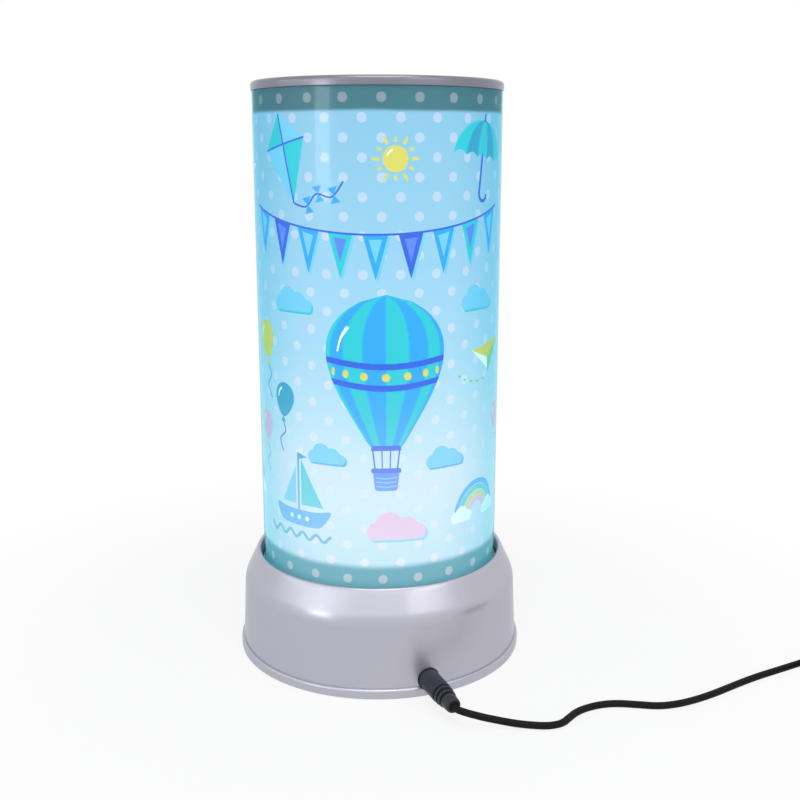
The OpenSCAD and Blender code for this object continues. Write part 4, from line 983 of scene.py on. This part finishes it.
def makePrint():
    shapes = drawPrint()
    sheets = []
    slots = list(inks)
    for (layer, ink), outlines in sorted(shapes.items()):
        for outline in outlines:
            flat = bpy.data.curves.new("figure", "CURVE")
            flat.dimensions, flat.fill_mode = "2D", "BOTH"
            line = flat.splines.new("POLY")
            line.points.add(len(outline) - 1)
            line.use_cyclic_u = True
            for knot, (u, v) in zip(line.points, outline):
                knot.co = (u, v, 0, 1)
            figure = bpy.data.objects.new("figure", flat)
            bpy.context.scene.collection.objects.link(figure)
            figure.location.z = printing["firstLayer"] + printing["layer"] * layer
            for name in slots:
                flat.materials.append(bpy.data.materials.get(name) or inkMaterial(name, *inks[name]))
            line.material_index = slots.index(ink)
            sheets.append(figure)
    bpy.ops.object.select_all(action="DESELECT")
    for figure in sheets:
        figure.select_set(True)
    bpy.context.view_layer.objects.active = sheets[0]
    bpy.ops.object.convert(target="MESH")
    bpy.ops.object.transform_apply(location=True, rotation=True, scale=True)
    bpy.ops.object.join()
    artwork = bpy.context.object
    bpy.ops.object.mode_set(mode="EDIT")
    step = 2 * math.pi * drum["filmRadius"] / drum["facets"] / mm
    first = math.floor(min(v.co.x for v in artwork.data.vertices) / step)
    last = math.ceil(max(v.co.x for v in artwork.data.vertices) / step)
    for k in range(first, last + 1):
        bpy.ops.mesh.select_all(action="SELECT")
        bpy.ops.mesh.bisect(plane_co=(k * step, 0, 0), plane_no=(1, 0, 0))
    bpy.ops.object.mode_set(mode="OBJECT")
    rollUp(artwork.data)
    bpy.ops.object.mode_set(mode="EDIT")
    bpy.ops.mesh.separate(type="MATERIAL")
    bpy.ops.object.mode_set(mode="OBJECT")
    for piece in list(bpy.context.selected_objects):
        ink = piece.data.materials[piece.data.polygons[0].material_index]
        piece.data.materials.clear()
        piece.data.materials.append(ink)
        for face in piece.data.polygons:
            face.material_index = 0
        piece.name = "print_" + ink.name.replace("Ink", "")
        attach(piece, "drum")


makePrint()
print("print ready")


capLow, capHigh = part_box("top_cap")
cap = {
    "radius": capHigh.x,
    "top": capHigh.z,
    "round": 0.0016,
    "border": 0.007,
    "dish": 0.0006,
    "roof": 0.0022,
    "collar": 0.05135,
    "collarWall": 0.002,
    # paint and warm are set far darker than the base's silver: painted shade for the dark room that the
    # cap's upright face mirrors
    "paint": (0.195, 0.205, 0.255),
    "warm": (0.205, 0.205, 0.25),
    "coat": 0.6,
    "poleRing": 0.0006,
}


def makeCap():
    c = cap
    rimEdge = c["radius"] - c["round"]
    dishEdge = c["radius"] - c["border"]
    inner = c["collar"] - c["collarWall"]
    roofBottom = c["top"] - c["roof"]
    dishTop, soft = c["top"] - c["dish"], 0.0002
    outline = [(c["collar"], drum["top"]), (c["radius"] - soft, drum["top"]),
               (c["radius"], drum["top"] + soft)]
    outline += arc((rimEdge, c["top"] - c["round"]), c["round"], 0, 90, 8)
    outline += [(dishEdge + 0.0003, c["top"]), (dishEdge, c["top"] - 0.0001),
                (dishEdge - c["dish"], dishTop), (0.03, dishTop), (c["poleRing"], dishTop),
                (c["poleRing"], roofBottom), (inner, roofBottom), (inner, capLow.z), (c["collar"], capLow.z)]
    lathe(outline, base["segments"])
    top = asPiece("cap_cover", "drum", "silver_paint", "top_cap")
    closePoles(top)
    # the base's silver, darkened as painted shade
    top.data.materials.append(silverPaint("silverCap", cap["paint"], cap["warm"], cap["coat"]))
    smoothBy(top, 35)


makeCap()
print("cap ready")


def makePlug():
    p = plug
    length, radius, block = p["length"], p["radius"], p["blockRadius"]

    def ringRadius(k):
        return radius - (radius - block) * (k / p["grooves"]) ** 1.5

    outline = [(0.0003, 0), (radius - 0.0005, 0), (radius - 0.0001, 0.0003), (radius, 0.0007)]
    for k in range(p["grooves"]):
        start = length - p["blockLength"] - p["grooveWidth"] - (p["grooves"] - 1 - k) * p["groovePitch"]
        end, near, far = start + p["grooveWidth"], ringRadius(k), ringRadius(k + 1)
        outline += [(near, start - 0.0005), (near - 0.00015, start - 0.0001), (far - 0.0008, start),
                    (far - 0.0008, end), (far - 0.00015, end + 0.0001), (far, end + 0.0005)]
    outline += [(block - 0.0003, length - 0.0007), (block - 0.0005, length - 0.0002),
                (block - 0.0008, length), (0.0022, length), (0.0018, length - 0.0006),
                (0.0016, length - 0.0006), (0.0014, length - 0.0001), (0.0003, length - 0.0001)]
    lathe(outline, p["segments"])
    closePoles(bpy.context.object)
    bpy.context.object.data.transform(plugTurn @ Matrix.Translation((p["seat"], p["aside"], p["height"]))
                                      @ Matrix.Rotation(math.radians(90), 4, "Y"))
    body = asPiece("plug_body", "base", "plug_black", "plug_grip")
    body.data.materials.append(mouldedFinish("plugRubber", (0.026, 0.0265, 0.038), 0.42, 0.03, 0.0006, 0.3))
    smoothBy(body, 40)
    return body


plugBody = makePlug()
print("plug ready")


# slot: colour, roughness, and whether it is metal
frameFinishes = {
    "cover_plastic": ((0.15, 0.155, 0.17), 0.5, False),
    "foot_rubber": ((0.015, 0.015, 0.016), 0.7, False),
    "zinc_steel": ((0.62, 0.62, 0.64), 0.3, True),
    "pin_steel": ((0.6, 0.6, 0.61), 0.2, True),
    "white_plastic": ((0.75, 0.75, 0.73), 0.45, False),
    "slip_plastic": ((0.8, 0.8, 0.76), 0.35, False),
    "plate_steel": ((0.6, 0.61, 0.63), 0.35, True),
    "motor_steel": ((0.58, 0.59, 0.6), 0.3, True),
    "dark_plastic": ((0.02, 0.02, 0.022), 0.45, False),
    "board_green": ((0.02, 0.13, 0.05), 0.4, False),
    "board_white": ((0.8, 0.8, 0.78), 0.4, False),
    "capacitor_sleeve": ((0.02, 0.025, 0.07), 0.35, False),
    "chip_black": ((0.018, 0.018, 0.02), 0.5, False),
    "header_cream": ((0.75, 0.72, 0.6), 0.5, False),
    "contact_metal": ((0.75, 0.72, 0.6), 0.25, True),
    "chip_phosphor": ((0.85, 0.75, 0.3), 0.4, False),
    "wire_yellow": ((0.7, 0.65, 0.05), 0.45, False),
    "wire_red": ((0.6, 0.03, 0.03), 0.45, False),
    "wire_black": ((0.02, 0.02, 0.022), 0.45, False),
    "table_plastic": ((0.7, 0.7, 0.72), 0.45, False),
    "diffuser_white": ((0.85, 0.85, 0.83), 0.6, False),
    "gear_plastic": ((0.78, 0.76, 0.66), 0.4, False),
    "gear_brass": ((0.72, 0.5, 0.2), 0.3, True),
    "shaft_steel": ((0.6, 0.6, 0.61), 0.2, True),
    "switch_black": ((0.012, 0.012, 0.013), 0.35, False),
    "sleeve_metal": ((0.65, 0.65, 0.67), 0.25, True),
    "adapter_black": ((0.014, 0.014, 0.016), 0.5, False),
}


def dressFrame():
    made = {}
    for entry in frame["record"]["subparts"]:
        name, slot = entry["node"], entry["material_slot"]
        if slot not in frameFinishes or frame["nodes"][name].hide_render:
            continue
        if slot not in made:
            colour, rough, metal = frameFinishes[slot]
            made[slot] = metalFinish(slot, colour, rough) if metal else mouldedFinish(slot, colour, rough)
        mesh = frame["nodes"][name].data
        mesh.materials.clear()
        mesh.materials.append(made[slot])


dressFrame()
print("frame dressed")
